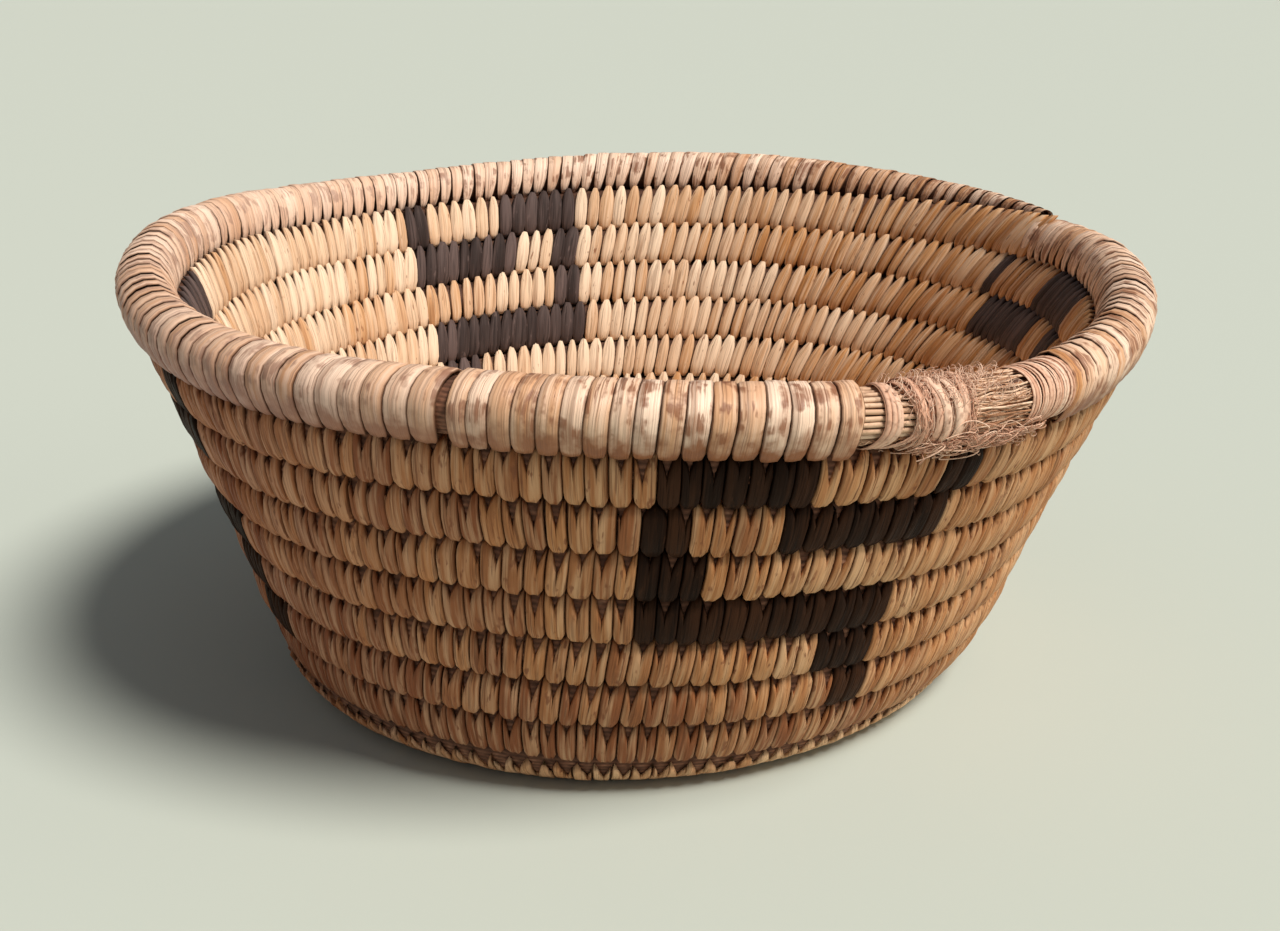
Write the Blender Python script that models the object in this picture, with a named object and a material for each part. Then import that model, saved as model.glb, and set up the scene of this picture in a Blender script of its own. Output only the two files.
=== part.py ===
"""Coiled basket bowl, as an assembly of separate named sub-parts.

One bundle of grass stems is coiled from the centre of the base out to the foot, up the wall
and round the rim. Light leaf splints wrap it, round by round, and dark splints are sewn over
them in four stepped frets. The splint runs are sleeves, bored for the bundle, and each dark
run is seated in a recess where the light splint is carried along underneath.

Metres, +Z up. The origin is on the floor, under the middle of the bowl's outline.
A place along the coil is counted in turns from its start. Rounds are counted from the foot.
"""

import math

import bmesh
import bpy
import numpy as np

# Size of the bowl
PITCH = 0.0117
WALL_ROUNDS = 8
FOOT_RADIUS = 0.0806
START_ROUNDS = -7.0 - 1.0 / 12.0
END_ROUNDS = 8.5
END_TURN = END_ROUNDS - START_ROUNDS
END_ANGLE = math.radians(20.0)

# Lean of the wall, in degrees from upright, and the rounded corner at the foot
LEAN_FOOT = 16.7
LEAN_GAIN = 9.8
LEAN_CURVE = -4.1
CORNER_BOTTOM = -0.7
CORNER_TOP = 1.1

# How far the bowl is from true: waves of the rim and the base set off its centre
RIM_LIFT_WAVES = ((1, -0.0035, 0.0006), (2, 0.0017, 0.0003), (4, 0.0013, -0.0002))
RIM_SWELL_WAVES = ((3, -0.004, 0.006), (4, -0.008, 0.011))
BASE_OFFSET = (-0.0066, -0.0051)
BOWL_OFFSET = (0.00164, -0.00034)

# Cross-sections of the coil
GAP = 0.0004
BASE_HALF = 0.0053
WALL_HALF = 0.0061
RIM_HALF = 0.0059
RIM_OVERHANG = 0.0012
CORNER_EASE = 0.08
CORE_RADIUS = 0.0033
RIM_CORE_RADIUS = 0.0046
CORE_GAP = 0.00035
CARRIED_HALF = 0.0045
DARK_BORE_HALF = 0.00485
END_GAP = 0.0003

# The coil's thin start, its tapered end and the blend from wall to rim
START_THICKNESS = 0.42
START_TAPER_ROUNDS = 1.5
START_FLATNESS = 0.5
TAPER_TURNS = 0.13
TAPER_THICKNESS = 0.42
TAPER_LOSS = 0.001
RIM_START = END_TURN - 1.0
RIM_BLEND = 0.06

# Points in one loop of the coil
LOOP_POINTS = 24
INNER_LOOP_POINTS = 12
INNER_TURNS = 2.25

# Where one light round of splints ends and the next begins
SEAM_TURN = 0.125
START_WRAP_TURNS = 1.5
START_WRAP_RADIUS = 0.015

# The rim's breaks, in degrees
BARE_BUNDLE = (296.6, 304.2)
SHREDS = (291.6, 296.4)
WORN_BAND = (288.5, 290.2)
FRONT_STITCHES = (252.3, 286.7)
BACK_STITCHES_FROM = 251.2
SHRED_SWELL = 0.07

# Stepped fret: round below its top round, first and last angle in degrees
FRET_RUNS = {
    "cap": (0, 0.0, 13.9),
    "tip": (0, 26.4, 30.5),
    "post_top": (1, 0.0, 5.3),
    "arm": (1, 11.3, 29.8),
    "post": (2, 0.0, 5.3),
    "bar": (3, 0.0, 28.2),
    "drop": (4, 20.9, 28.0),
    "foot": (5, 23.0, 29.0),
}
FRET_STARTS = {"front": 269.6, "left": 185.0, "back": 100.8, "right": 355.8}

# Colours of the materials, linear
LIGHT_SPLINT = (0.52, 0.33, 0.17)
RIM_SPLINT = (0.55, 0.34, 0.18)
DARK_SPLINT = (0.028, 0.020, 0.016)
GRASS = (0.36, 0.19, 0.09)
SHRED = (0.50, 0.31, 0.17)


def smooth(value):
    """Ease from 0 to 1 without a corner."""
    share = np.clip(value, 0.0, 1.0)
    return share * share * (3.0 - 2.0 * share)


def start_share(rounds):
    """Share of its full thickness that the coil has near its thin start."""
    grown = START_THICKNESS + (1.0 - START_THICKNESS) * (rounds - START_ROUNDS) / START_TAPER_ROUNDS
    return np.clip(grown, START_THICKNESS, 1.0)


def wall_profile():
    """Radius and height of the coil's centre against rounds above the foot."""
    rounds = np.linspace(START_ROUNDS - 1.5, END_ROUNDS + 2.0, 1201)
    share = np.clip(rounds / WALL_ROUNDS, 0.0, 1.2)
    wall = np.radians(LEAN_FOOT + LEAN_GAIN * share + LEAN_CURVE * share ** 2)
    corner = smooth((CORNER_TOP - rounds) / (CORNER_TOP - CORNER_BOTTOM))
    lean = wall + (math.pi / 2.0 - wall) * corner
    step = (rounds[1] - rounds[0]) * PITCH
    outward = np.sin(lean) * start_share(rounds)
    across = np.concatenate([[0.0], np.cumsum((outward[1:] + outward[:-1]) * step / 2.0)])
    rise = np.concatenate([[0.0], np.cumsum((np.cos(lean[1:]) + np.cos(lean[:-1])) * step / 2.0)])
    foot = float(np.interp(CORNER_BOTTOM, rounds, across)) - CORNER_BOTTOM * PITCH
    return rounds, across - foot + FOOT_RADIUS, rise + BASE_HALF


PROFILE_ROUNDS, PROFILE_RADIUS, PROFILE_HEIGHT = wall_profile()


def wave(waves, angle):
    """Sum of a few waves round the rim."""
    return sum(c * math.cos(n * angle) + s * math.sin(n * angle) for n, c, s in waves)


def coil_angle(turn):
    """Angle of a place along the coil, which runs clockwise seen from above."""
    return END_ANGLE + 2.0 * math.pi * (END_TURN - turn)


def coil_rounds(turn):
    """Rounds above the foot of a place along the coil."""
    return turn - END_TURN + END_ROUNDS


def wall_point(rounds, angle):
    """Middle of the wall at a height in rounds and an angle."""
    share = min(max(rounds / WALL_ROUNDS, 0.0), 1.2)
    radius = float(np.interp(rounds, PROFILE_ROUNDS, PROFILE_RADIUS))
    height = float(np.interp(rounds, PROFILE_ROUNDS, PROFILE_HEIGHT))
    radius *= 1.0 + wave(RIM_SWELL_WAVES, angle) * share
    x = radius * math.cos(angle) + BASE_OFFSET[0] * (1.0 - share) + BOWL_OFFSET[0]
    y = radius * math.sin(angle) + BASE_OFFSET[1] * (1.0 - share) + BOWL_OFFSET[1]
    return np.array([x, y, height + wave(RIM_LIFT_WAVES, angle) * share])


def thickness(turn):
    """Thickness of the coil, which tapers over its last stretch."""
    return 1.0 - (1.0 - TAPER_THICKNESS) * float(smooth((turn - END_TURN + TAPER_TURNS) / TAPER_TURNS))


def rim_share(turn):
    """0 on the wall and 1 on the rim."""
    return float(smooth((turn - RIM_START) / RIM_BLEND))


def coil_point(turn):
    """Middle of the coil. Where it tapers it stays seated on the round below."""
    angle = coil_angle(turn)
    middle = wall_point(coil_rounds(turn) - 0.5 * (1.0 - thickness(turn)), angle)
    overhang = RIM_OVERHANG * rim_share(turn) * thickness(turn)
    return middle + np.array([math.cos(angle), math.sin(angle), 0.0]) * overhang


def core_radius(turn):
    """Radius of the grass bundle."""
    full = CORE_RADIUS + (RIM_CORE_RADIUS - CORE_RADIUS) * rim_share(turn)
    full *= float(start_share(coil_rounds(turn)))
    return full * thickness(turn) - TAPER_LOSS * (1.0 - thickness(turn))


def ease(turn):
    """The rounds that turn the corner at the foot are pressed a little smaller."""
    rounds = coil_rounds(turn)
    return 1.0 - CORNER_EASE * float(smooth(1.6 - abs(rounds - 0.2)))


def frame(turn):
    """Middle of the coil, its outward and upward directions and its half heights."""
    rounds = coil_rounds(turn)
    angle = coil_angle(turn)
    middle = wall_point(rounds, angle)
    above = wall_point(rounds + 1.0, angle)
    below = wall_point(rounds - 1.0, angle)
    up = (above - below) / np.linalg.norm(above - below)
    along = np.array([-math.sin(angle), math.cos(angle), 0.0])
    outward = np.cross(along, up)
    half_up = np.linalg.norm(above - middle) / 2.0 - GAP / 2.0
    half_down = np.linalg.norm(middle - below) / 2.0 - GAP / 2.0
    share = float(start_share(rounds))
    if share < 1.0:
        half_up = half_down = (PITCH * share - GAP) / 2.0
    return coil_point(turn), outward, up, half_up, half_down


def polygon(sides, phase):
    """Unit polygon whose flats touch the unit circle from outside."""
    reach = 1.0 / math.cos(math.pi / sides)
    corners = [phase + 2.0 * math.pi * k / sides for k in range(sides)]
    return [(reach * math.cos(a), reach * math.sin(a)) for a in corners]


OCTAGON = polygon(8, math.pi / 8.0)
HEXAGON = polygon(6, 0.0)
HEXAGON_REACH = 1.0 / math.cos(math.pi / 6.0)


def section(kind, turn):
    """Corners of one cross-section at a turn, pressed flat where they meet the floor."""
    middle, outward, up, half_up, half_down = frame(turn)
    small = ease(turn) * thickness(turn)
    wall_half = BASE_HALF + (WALL_HALF - BASE_HALF) * float(smooth(coil_rounds(turn) - 0.5))
    if kind == "base":
        across = BASE_HALF * (START_FLATNESS + (1.0 - START_FLATNESS) * float(start_share(coil_rounds(turn))))
        shape, high, low = OCTAGON, half_up * small, half_down * small
    elif kind == "wall":
        across = wall_half / HEXAGON_REACH * small
        shape, high, low = HEXAGON, half_up * small, half_down * small
    elif kind == "rim":
        share = rim_share(turn)
        across = (wall_half * (1.0 - share) + RIM_HALF * share) * small
        high = (half_up * (1.0 - share) + RIM_HALF * share) * small
        shape, low = OCTAGON, half_down * small
    elif kind == "carried":
        shape, across, high, low = HEXAGON, CARRIED_HALF, CARRIED_HALF, CARRIED_HALF
    elif kind == "dark_bore":
        shape, across, high, low = HEXAGON, DARK_BORE_HALF, DARK_BORE_HALF, DARK_BORE_HALF
    else:
        bore = core_radius(turn) + CORE_GAP
        shape = HEXAGON if kind == "wall_bore" else OCTAGON
        across, high, low = bore, bore, bore
    corners = [middle + outward * (x * across) + up * (y * (high if y > 0.0 else low)) for x, y in shape]
    for corner in corners:
        corner[2] = max(corner[2], 0.0)
    return corners


def loop_points(turn):
    """Points in a loop: fewer near the middle of the base."""
    return INNER_LOOP_POINTS if turn < INNER_TURNS else LOOP_POINTS


def ring(kind, turn):
    """Cross-section on the coil's straight facet between two of its points."""
    points = loop_points(turn)
    first = math.floor(turn * points + 1e-6) / points
    share = (turn - first) * points
    corners = np.array(section(kind, first))
    if share > 1e-5:
        corners = corners * (1.0 - share) + np.array(section(kind, first + 1.0 / points)) * share
    return corners


def stations(start, end):
    """Turns of the coil's points from start to end, both ends included."""
    turns = [start]
    turn = start
    while turn < end - 1e-6:
        points = loop_points(turn + 1e-6)
        turn = (math.floor(turn * points + 1e-5) + 1) / points
        if turn < end - 1e-5:
            turns.append(turn)
    return turns + [end]


def skin_faces(mesh, rings):
    """Skin a row of rings and give back the corners of its two end rings."""
    rows = [[mesh.verts.new(corner) for corner in corners] for corners in rings]
    for first, second in zip(rows, rows[1:]):
        band(mesh, first, second)
    return rows[0], rows[-1]


def band(mesh, first, second):
    """Faces between two rings with as many corners."""
    for k in range(len(first)):
        after = (k + 1) % len(first)
        mesh.faces.new((first[k], first[after], second[after], second[k]))


def finish_object(name, mesh_data, material):
    """Put a mesh in the scene under its name."""
    thing = bpy.data.objects.new(name, mesh_data)
    bpy.context.collection.objects.link(thing)
    thing.data.materials.append(material)
    mesh_data.shade_smooth()
    mesh_data.set_sharp_from_angle(angle=math.radians(70.0))
    return thing


def sleeve(name, skin, bore, material):
    """Closed sleeve from the rings of its skin and of its bore."""
    mesh = bmesh.new()
    skin_start, skin_end = skin_faces(mesh, skin)
    bore_end, bore_start = skin_faces(mesh, bore[::-1])
    band(mesh, bore_start, skin_start)
    band(mesh, skin_end, bore_end)
    bmesh.ops.recalc_face_normals(mesh, faces=mesh.faces)
    data = bpy.data.meshes.new(name)
    mesh.to_mesh(data)
    mesh.free()
    return finish_object(name, data, material)


def splint_run(name, kind, start, end, material, recesses=()):
    """Light splints wrapped round the bundle, with recesses where dark splints are sewn."""
    skin = []
    turn = start
    for low, high in sorted(recesses):
        skin += [ring(kind, place) for place in stations(turn, low)]
        skin += [ring("carried", place) for place in stations(low, high)]
        turn = high
    skin += [ring(kind, place) for place in stations(turn, end)]
    bore = [ring("wall_bore" if kind == "wall" else "bore", place) for place in stations(start, end)]
    return sleeve(name, skin, bore, material)


def dark_run(name, start, end, material):
    """Dark splints sewn over the recess in a light round."""
    turns = stations(start, end)
    skin = [ring("wall", turn) for turn in turns]
    bore = [ring("dark_bore", turn) for turn in turns]
    return sleeve(name, skin, bore, material)


def shreds(name, start, end, material):
    """Torn splints that still cling round the bundle as a lumpy roll."""
    turns = list(np.linspace(start, end, 7))
    skin = []
    for k, turn in enumerate(turns):
        corners = ring("rim", turn)
        middle = corners.mean(axis=0)
        swell = 1.0 + SHRED_SWELL * math.sin(2.4 * k) * (0 < k < len(turns) - 1)
        lifted = middle + (corners - middle) * swell
        lifted[4:] = corners[4:]
        skin.append(lifted)
    bore = [ring("bore", turn) for turn in turns]
    return sleeve(name, skin, bore, material)


def foundation(name, material):
    """The grass bundle: one unbroken tube from the middle of the base to the rim's end."""
    turns = stations(0.0, END_TURN)
    middles = [coil_point(turn) for turn in turns]
    curve = bpy.data.curves.new(name, "CURVE")
    curve.dimensions = "3D"
    curve.bevel_depth = CORE_RADIUS
    curve.bevel_resolution = 1
    curve.use_fill_caps = True
    spline = curve.splines.new("POLY")
    spline.points.add(len(turns) - 1)
    for point, middle, turn in zip(spline.points, middles, turns):
        point.co = (*middle, 1.0)
        point.radius = core_radius(turn) / CORE_RADIUS
    curve.materials.append(material)
    thing = bpy.data.objects.new(name, curve)
    bpy.context.collection.objects.link(thing)
    print_least_gap(turns, middles)
    return thing


def print_least_gap(turns, middles):
    """Print the least gap between any two loops of the bundle."""
    places = np.array(middles)
    radii = np.array([core_radius(turn) for turn in turns])
    counts = np.array(turns)
    least = 1.0
    for k in range(len(turns)):
        apart = counts > counts[k] + 0.5
        if apart.any():
            gaps = np.linalg.norm(places[apart] - places[k], axis=1) - radii[apart] - radii[k]
            least = min(least, float(gaps.min()))
    print(f"least gap of the bundle to itself: {least * 1000.0:.2f} mm")


def material(name, colour, roughness):
    """Plain surface of one kind of fibre."""
    made = bpy.data.materials.new(name)
    made.use_nodes = True
    shader = made.node_tree.nodes["Principled BSDF"]
    shader.inputs["Base Color"].default_value = (*colour, 1.0)
    shader.inputs["Roughness"].default_value = roughness
    shader.inputs["Metallic"].default_value = 0.0
    made.diffuse_color = (*colour, 1.0)
    return made


def rim_turn(degrees):
    """Turn at which the rim passes an angle."""
    return END_TURN - ((math.radians(degrees) - END_ANGLE) % (2.0 * math.pi)) / (2.0 * math.pi)


def fret_runs():
    """Start and end turn of each dark run, with its name."""
    runs = {}
    for place, start in FRET_STARTS.items():
        for part, (below, first, last) in FRET_RUNS.items():
            low, high = (RIM_START - below - (start + a) / 360.0 + END_ANGLE / (2.0 * math.pi)
                         for a in (last, first))
            runs[f"{place}_fret_{part}"] = (low, high)
    return runs


def build_base(light):
    """The wrapped start and the flat base."""
    splint_run("start_wrap", "base", 0.0, START_WRAP_TURNS, light)
    first = START_WRAP_TURNS + END_GAP / (2.0 * math.pi * START_WRAP_RADIUS)
    splint_run("base_stitches", "base", first, END_TURN - END_ROUNDS - 0.5 + SEAM_TURN, light)


def build_wall(light, dark):
    """Eight light rounds and the dark runs seated in them."""
    runs = fret_runs()
    margin = END_GAP / (2.0 * math.pi * FOOT_RADIUS)
    for number in range(1, WALL_ROUNDS + 1):
        start = END_TURN - END_ROUNDS - 1.5 + SEAM_TURN + number
        end = min(start + 1.0, RIM_START)
        inside = [(low - margin, high + margin) for low, high in runs.values() if start < low < end]
        splint_run(f"light_stitches_round_{number}", "wall", start + margin, end, light, inside)
    for name, (low, high) in runs.items():
        dark_run(name, low, high, dark)


def build_rim(light, torn):
    """The overcast rim, with its breaks."""
    margin = END_GAP / (2.0 * math.pi * FOOT_RADIUS)
    splint_run("rim_stitches_right", "rim", RIM_START + margin, rim_turn(BARE_BUNDLE[1]), light)
    shreds("rim_torn_shreds", rim_turn(SHREDS[1]), rim_turn(SHREDS[0]), torn)
    splint_run("rim_stitches_band", "rim", rim_turn(WORN_BAND[1]), rim_turn(WORN_BAND[0]), light)
    splint_run("rim_stitches_front", "rim", rim_turn(FRONT_STITCHES[1]), rim_turn(FRONT_STITCHES[0]), light)
    splint_run("rim_stitches_back", "rim", rim_turn(BACK_STITCHES_FROM), END_TURN, light)


def main():
    """Clear the scene and build the basket."""
    for old in list(bpy.data.objects):
        bpy.data.objects.remove(old, do_unlink=True)
    light = material("light_splint", LIGHT_SPLINT, 0.6)
    rim = material("rim_splint", RIM_SPLINT, 0.5)
    dark = material("dark_splint", DARK_SPLINT, 0.55)
    grass = material("grass_bundle", GRASS, 0.8)
    torn = material("torn_splint", SHRED, 0.75)
    foundation("foundation_coil", grass)
    build_base(light)
    build_wall(light, dark)
    build_rim(rim, torn)


main()
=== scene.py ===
import math
from collections import namedtuple

import bmesh
import bpy
import numpy as np
from bpy.props import FloatProperty, FloatVectorProperty, IntProperty, PointerProperty
from mathutils import Matrix, Vector


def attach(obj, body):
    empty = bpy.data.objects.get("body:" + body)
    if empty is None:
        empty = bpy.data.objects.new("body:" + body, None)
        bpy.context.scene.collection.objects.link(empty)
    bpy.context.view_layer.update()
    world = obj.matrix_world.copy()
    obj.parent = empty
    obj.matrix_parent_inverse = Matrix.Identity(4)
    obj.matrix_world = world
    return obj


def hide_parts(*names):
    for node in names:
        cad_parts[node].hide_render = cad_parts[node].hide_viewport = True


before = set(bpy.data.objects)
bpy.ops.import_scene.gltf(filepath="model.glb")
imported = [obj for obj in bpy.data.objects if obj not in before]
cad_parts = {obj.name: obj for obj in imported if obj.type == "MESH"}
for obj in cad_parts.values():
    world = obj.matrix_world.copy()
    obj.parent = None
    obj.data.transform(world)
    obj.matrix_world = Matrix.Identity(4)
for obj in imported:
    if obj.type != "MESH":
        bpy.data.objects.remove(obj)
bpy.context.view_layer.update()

bl_info = {
    "name": "Coiled Basket Bowl",
    "version": (1, 0, 0),
    "blender": (4, 5, 0),
    "location": "View3D > Sidebar > Basket",
    "description": "Sews a coiled basket bowl stitch by stitch over its grass bundle",
    "category": "Object",
}

# The coil, in metres. Rounds are counted up from the foot, and turns from the coil's start
PITCH = 0.0117
WALL_ROUNDS = 8
START_ROUNDS = -7.0 - 1.0 / 12.0
END_ROUNDS = 8.5
END_TURN = END_ROUNDS - START_ROUNDS
END_ANGLE = math.radians(20.0)
LEAN_FOOT = 16.7
LEAN_GAIN = 9.8
LEAN_CURVE = -4.1
CORNER_BOTTOM = -0.7
CORNER_TOP = 0.5
BASE_SPREAD = 0.0401
START_RADIUS = 0.0028
RIM_LIFT_WAVES = ((1, -0.0035, 0.0006), (2, 0.0017, 0.0003), (4, 0.0013, -0.0002))
RIM_SWELL_WAVES = ((3, -0.004, 0.006), (4, -0.008, 0.011))
SHARE_LIMIT = 1.2
PROFILE_MARGINS = (1.5, 2.0)
PROFILE_STEPS = 1201
BASE_OFFSET = (-0.0066, -0.0051)
BOWL_OFFSET = (0.00164, -0.00034)
RIM_START = END_TURN - 1.0
RIM_BLEND = 0.06
RIM_OVERHANG = 0.0012
SEAM_TURN = 0.125
BASE_END = END_TURN - END_ROUNDS - 0.5 + SEAM_TURN

# Half thickness of the coil, how it thins round the foot's corner, and its thin ends
BASE_HALF = 0.0053
WALL_HALF = 0.0061
CORNER_EASE = 0.08
CORNER_MIDDLE = 0.2
CORNER_REACH = 1.6
START_THICKNESS = 0.42
START_TAPER_ROUNDS = 1.5
TAPER_TURNS = 0.14
TAPER_THICKNESS = 0.17
TAPER_POWER = 1.4

# The rim's breaks and what lies in them, in degrees round the bowl
BARE_BUNDLE = (296.6, 304.2)
SHREDS = (291.6, 296.4)
WORN_BAND_START = 288.5
FRONT_STITCHES = (252.3, 286.7)
BACK_STITCHES_FROM = 251.2
LEANING_FROM = 291.5
STEM_STRETCH = (285.6, 292.6)
BRUSH_STRETCH = (294.8, 304.6)
BROKEN_ENDS = (299.0, 304.2)
SPLIT_STRETCH = (303.9, 309.6)
LOOSE_STRETCH = (288.0, 294.0, 303.0)
TANGLE_STRETCH = (293.5, 304.5)

# Stepped fret: rounds below its top round, first and last angle in degrees
FRET_RUNS = {
    "cap": (0, 0.0, 13.9),
    "tip": (0, 26.4, 30.5),
    "post_top": (1, 0.0, 4.8),
    "arm": (1, 11.9, 29.8),
    "post": (2, 0.0, 5.3),
    "bar": (3, 0.0, 28.8),
    "drop": (4, 21.4, 28.6),
    "foot": (5, 23.5, 29.5),
}
FRET_STARTS = {"front": 269.6, "left": 185.0, "back": 100.8, "right": 355.8}

# One stitch, from its lower tip, which bites into the round below, to its top, or over the rim to
# its inner tip: distance outward from the coil's middle and height above it. Inside, the distance
# is counted inward
OUTER_PROFILE = (
    (0.0040, -0.0070), (0.0051, -0.0065), (0.0057, -0.0056), (0.0061, -0.0038), (0.0062, -0.0014),
    (0.0060, 0.0016), (0.0055, 0.0038), (0.0046, 0.0054), (0.0034, 0.0064),
)
INNER_PROFILE = (
    (0.0034, -0.0076), (0.0049, -0.0067), (0.0059, -0.0048), (0.0061, -0.0018), (0.0061, 0.0014),
    (0.0058, 0.0040), (0.0054, 0.0055), (0.0046, 0.0068),
)
RIM_PROFILE = (
    (0.0036, -0.0070), (0.0050, -0.0064), (0.0057, -0.0052), (0.0061, -0.0032), (0.0062, -0.0008),
    (0.0059, 0.0018), (0.0050, 0.0038), (0.0032, 0.0052), (0.0010, 0.0058), (-0.0012, 0.0058),
    (-0.0034, 0.0052), (-0.0051, 0.0036), (-0.0060, 0.0014), (-0.0062, -0.0010),
    (-0.0060, -0.0034), (-0.0053, -0.0056), (-0.0038, -0.0074),
)

# Places along a stitch and how much of its width it has there
INNER_WIDTH = (
    (0.0, 0.24), (0.07, 0.58), (0.16, 0.82), (0.28, 0.97), (0.4, 1.0), (0.58, 1.0), (0.7, 0.93),
    (0.82, 0.72), (0.92, 0.44), (1.0, 0.10),
)
RIM_WIDTH = (
    (0.0, 0.36), (0.02, 0.62), (0.05, 0.83), (0.1, 0.97), (0.16, 1.0), (0.5, 1.0), (0.7, 0.93),
    (0.86, 0.82), (0.95, 0.52), (1.0, 0.2),
)
NOMINAL_WIDTH = 0.0042
OUTER_ROWS = (0.0, 0.07, 0.24, 0.48, 0.72, 0.9, 1.0)
INNER_ROWS = (0.0, 0.07, 0.16, 0.3, 0.5, 0.68, 0.82, 0.93, 1.0)
RIM_ROWS = (0.0, 0.02, 0.05, *np.linspace(0.1, 0.9, 12).tolist(), 0.95, 1.0)
INNER_PINCHES = (1.0, 0.9, 1.1)

# Round and narrow lower tip of a stitch outside, and of a wrap on the rim
TIP_ROUNDING = 0.28
TIP_POWER = 2.1
TIP_NARROWING = 0.26
TIP_SHARE = 0.34
RIM_TIP_ROUNDING = 0.03
RIM_TIP_POWER = 3

# The split that the stitch above makes: how high the leaf reaches at steps away from it
SPLIT_STEPS = (0.0, 0.05, 0.3, 0.6, 0.8, 1.0)
SPLIT_HEIGHTS = (
    (0.44, 0.64, 0.79, 0.90, 0.96, 1.0),
    (0.54, 0.72, 0.83, 0.92, 0.96, 1.0),
    (0.36, 0.56, 0.74, 0.88, 0.95, 1.0),
)
DARK_SPLIT_HEIGHTS = (
    (0.52, 0.72, 0.82, 0.91, 0.96, 1.0),
    (0.62, 0.80, 0.88, 0.94, 0.98, 1.0),
    (0.46, 0.66, 0.78, 0.89, 0.95, 1.0),
)
NOTCH_PLACES = 8
LINE_SPACING = 0.04

# Edges and ends of a leaf, which roll over, and its crowned middle
EDGE_START = 0.82
EDGE_DROP = 0.0008
RIM_EDGE_DROP = 0.0003
LOWER_END = 0.04
UPPER_END = 0.03
CROWN = 0.00012
NORMAL_STEP = 0.02
EDGE_LINES = (-1.0, -EDGE_START, 0.0, EDGE_START, 1.0)

# How wide a stitch is for its room on each side of the coil, and how far out from the coil's
# middle that room is measured, as a share of its half thickness
WIDTH_SHARES = {"outer": 1.03, "dark_outer": 1.08, "inner": 1.07, "dark_inner": 1.16, "rim": 1.075}
OUTER_ROOM = 0.95
INNER_ROOM = 0.85
LEAST_ROOM = 0.002

# Sewing: where the stitches begin and end, how those of a round follow the round below, and how
# much they differ
RNG_SEED = 7
BASE_SAMPLES = 4001
FIRST_STITCH = 0.06
END_MARGIN = 0.003
RIM_MARGIN = 0.004
GROWING_ROUNDS = 9.0
GAP_SPAN = 5
GAP_NOISE = 0.03
GAP_EASING = 8
SPLIT_PULL = 0.85
SLOPE_EASING = 4
RIM_SLOPE = 0.9
EASED_STITCHES = 5
STITCH_JITTER = 0.0006
SIZE_SPREADS = (0.03, 0.012, 0.02)
ROUGH_SCALE = 210.0
ROUGHNESS = 0.0004
ROW_WOBBLE_SCALE = 26.0
ROW_WOBBLE = 0.0008

# Least height above the floor
FLOOR_GAP = 0.00005

# Patches outside where the stitches slant more: middle and spread, in degrees and in rounds
LEFT_PATCH = (238.0, 20.0)
RIGHT_PATCH = (300.0, 24.0)
FRONT_PATCH = (268.0, 14.0)
FRONT_PATCH_ROUNDS = (2.3, 1.0)

# Stretch inside where they slant more: where it begins and ends and how long each takes, in degrees
INNER_STRETCH_START = (-75.0, 60.0)
INNER_STRETCH_END = (100.0, 90.0)

# Patches that are paler in front and redder on the rim at the back: middle and spread
LIT_PATCH = (290.0, 13.0)
LIT_PATCH_ROUNDS = (3.8, 2.0)
RED_PATCH = (55.0, 22.0)

# The grass bundle: how far it lies under its splints, how its rounds press into each other, how
# much thinner it is on the rim and where it is bare, and its ribs
BUNDLE_SINK = 0.0008
BUNDLE_OVERLAP = 0.0003
BUNDLE_RIM_LOSS = 0.0013
BUNDLE_BARE_SHARE = 0.72
BUNDLE_DROP = 0.0004
BUNDLE_STEP = 0.0056
BUNDLE_LEAST_RADIUS = 0.006
BUNDLE_END = END_TURN - 0.007
BUNDLE_TWIST = 4.0
STEP_LENGTH = 0.0003
RIB_RELIEF = 0.035

# Strips that cross over the start of the coil on each side
KNOT_STRIPS = 5
KNOT_REACH = 0.0026
KNOT_HEIGHT = 0.0024
KNOT_LAYER = 0.0001
KNOT_DROP = 0.0009
KNOT_SHIFT = 0.0004
KNOT_THICK = 0.0007

# Strands of the frayed stretch of the rim: how many, points on each, distance from the bundle's
# middle and how much it wanders, range of thickness and range of tone
Fray = namedtuple("Fray", "count steps reach ripple thick tone")
STEM = Fray(20, 14, 0.0046, 0.0001, (0.00042, 0.00055), (0.1, 0.7))
CROSSED = Fray(26, 12, 0.0050, 0.0003, (0.00006, 0.00013), (0.5, 1.0))
BRUSH = Fray(460, 12, 0.0057, 0.00022, (0.00008, 0.00024), (0.0, 0.7))
TORN_STRIP = Fray(44, 26, 0.0051, 0.0003, (0.0005, 0.0013), (0.0, 0.6))
TORN_FIBRE = Fray(210, 16, 0.0059, 0.00045, (0.00005, 0.00014), (0.0, 0.8))
LOOSE_HAIR = Fray(260, 14, 0.0055, 0.0, (0.00005, 0.0001), (0.0, 0.3))
TANGLED_HAIR = Fray(240, 22, 0.0064, 0.0009, (0.00006, 0.00012), (0.0, 0.7))
WORN_STRIP = Fray(8, 26, 0.0054, 0.0001, (0.00028, 0.0006), (0.0, 0.8))
LEANING_STRIP = Fray(6, 22, 0.0056, 0.0001, (0.00025, 0.0005), (0.0, 0.5))
SPLIT_STRIP = Fray(40, 28, 0.0055, 0.0001, (0.0002, 0.00045), (0.0, 0.7))

# Where the first and last bare stem lie round the bundle, and how much higher each torn strip lies
# than the one before
STEM_PLACES = (-0.42, 4.4)
STRIP_LAYER = 0.000024

# Gain on the usual and the dark tone of the leaves outside, on all tones of the rim's wraps, and
# on a dark splint's colour for its three tones; the first of these, 2.6, makes the palest tone a
# painted highlight on the dark splint's glossy fibres
OUTER_GAIN = (0.92, 0.86, 0.92)
RIM_GAIN = (1.03, 1.0, 1.06)
DARK_HIGHLIGHT_AND_TONE_GAINS = (2.6, 1.0, 0.7)
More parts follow.
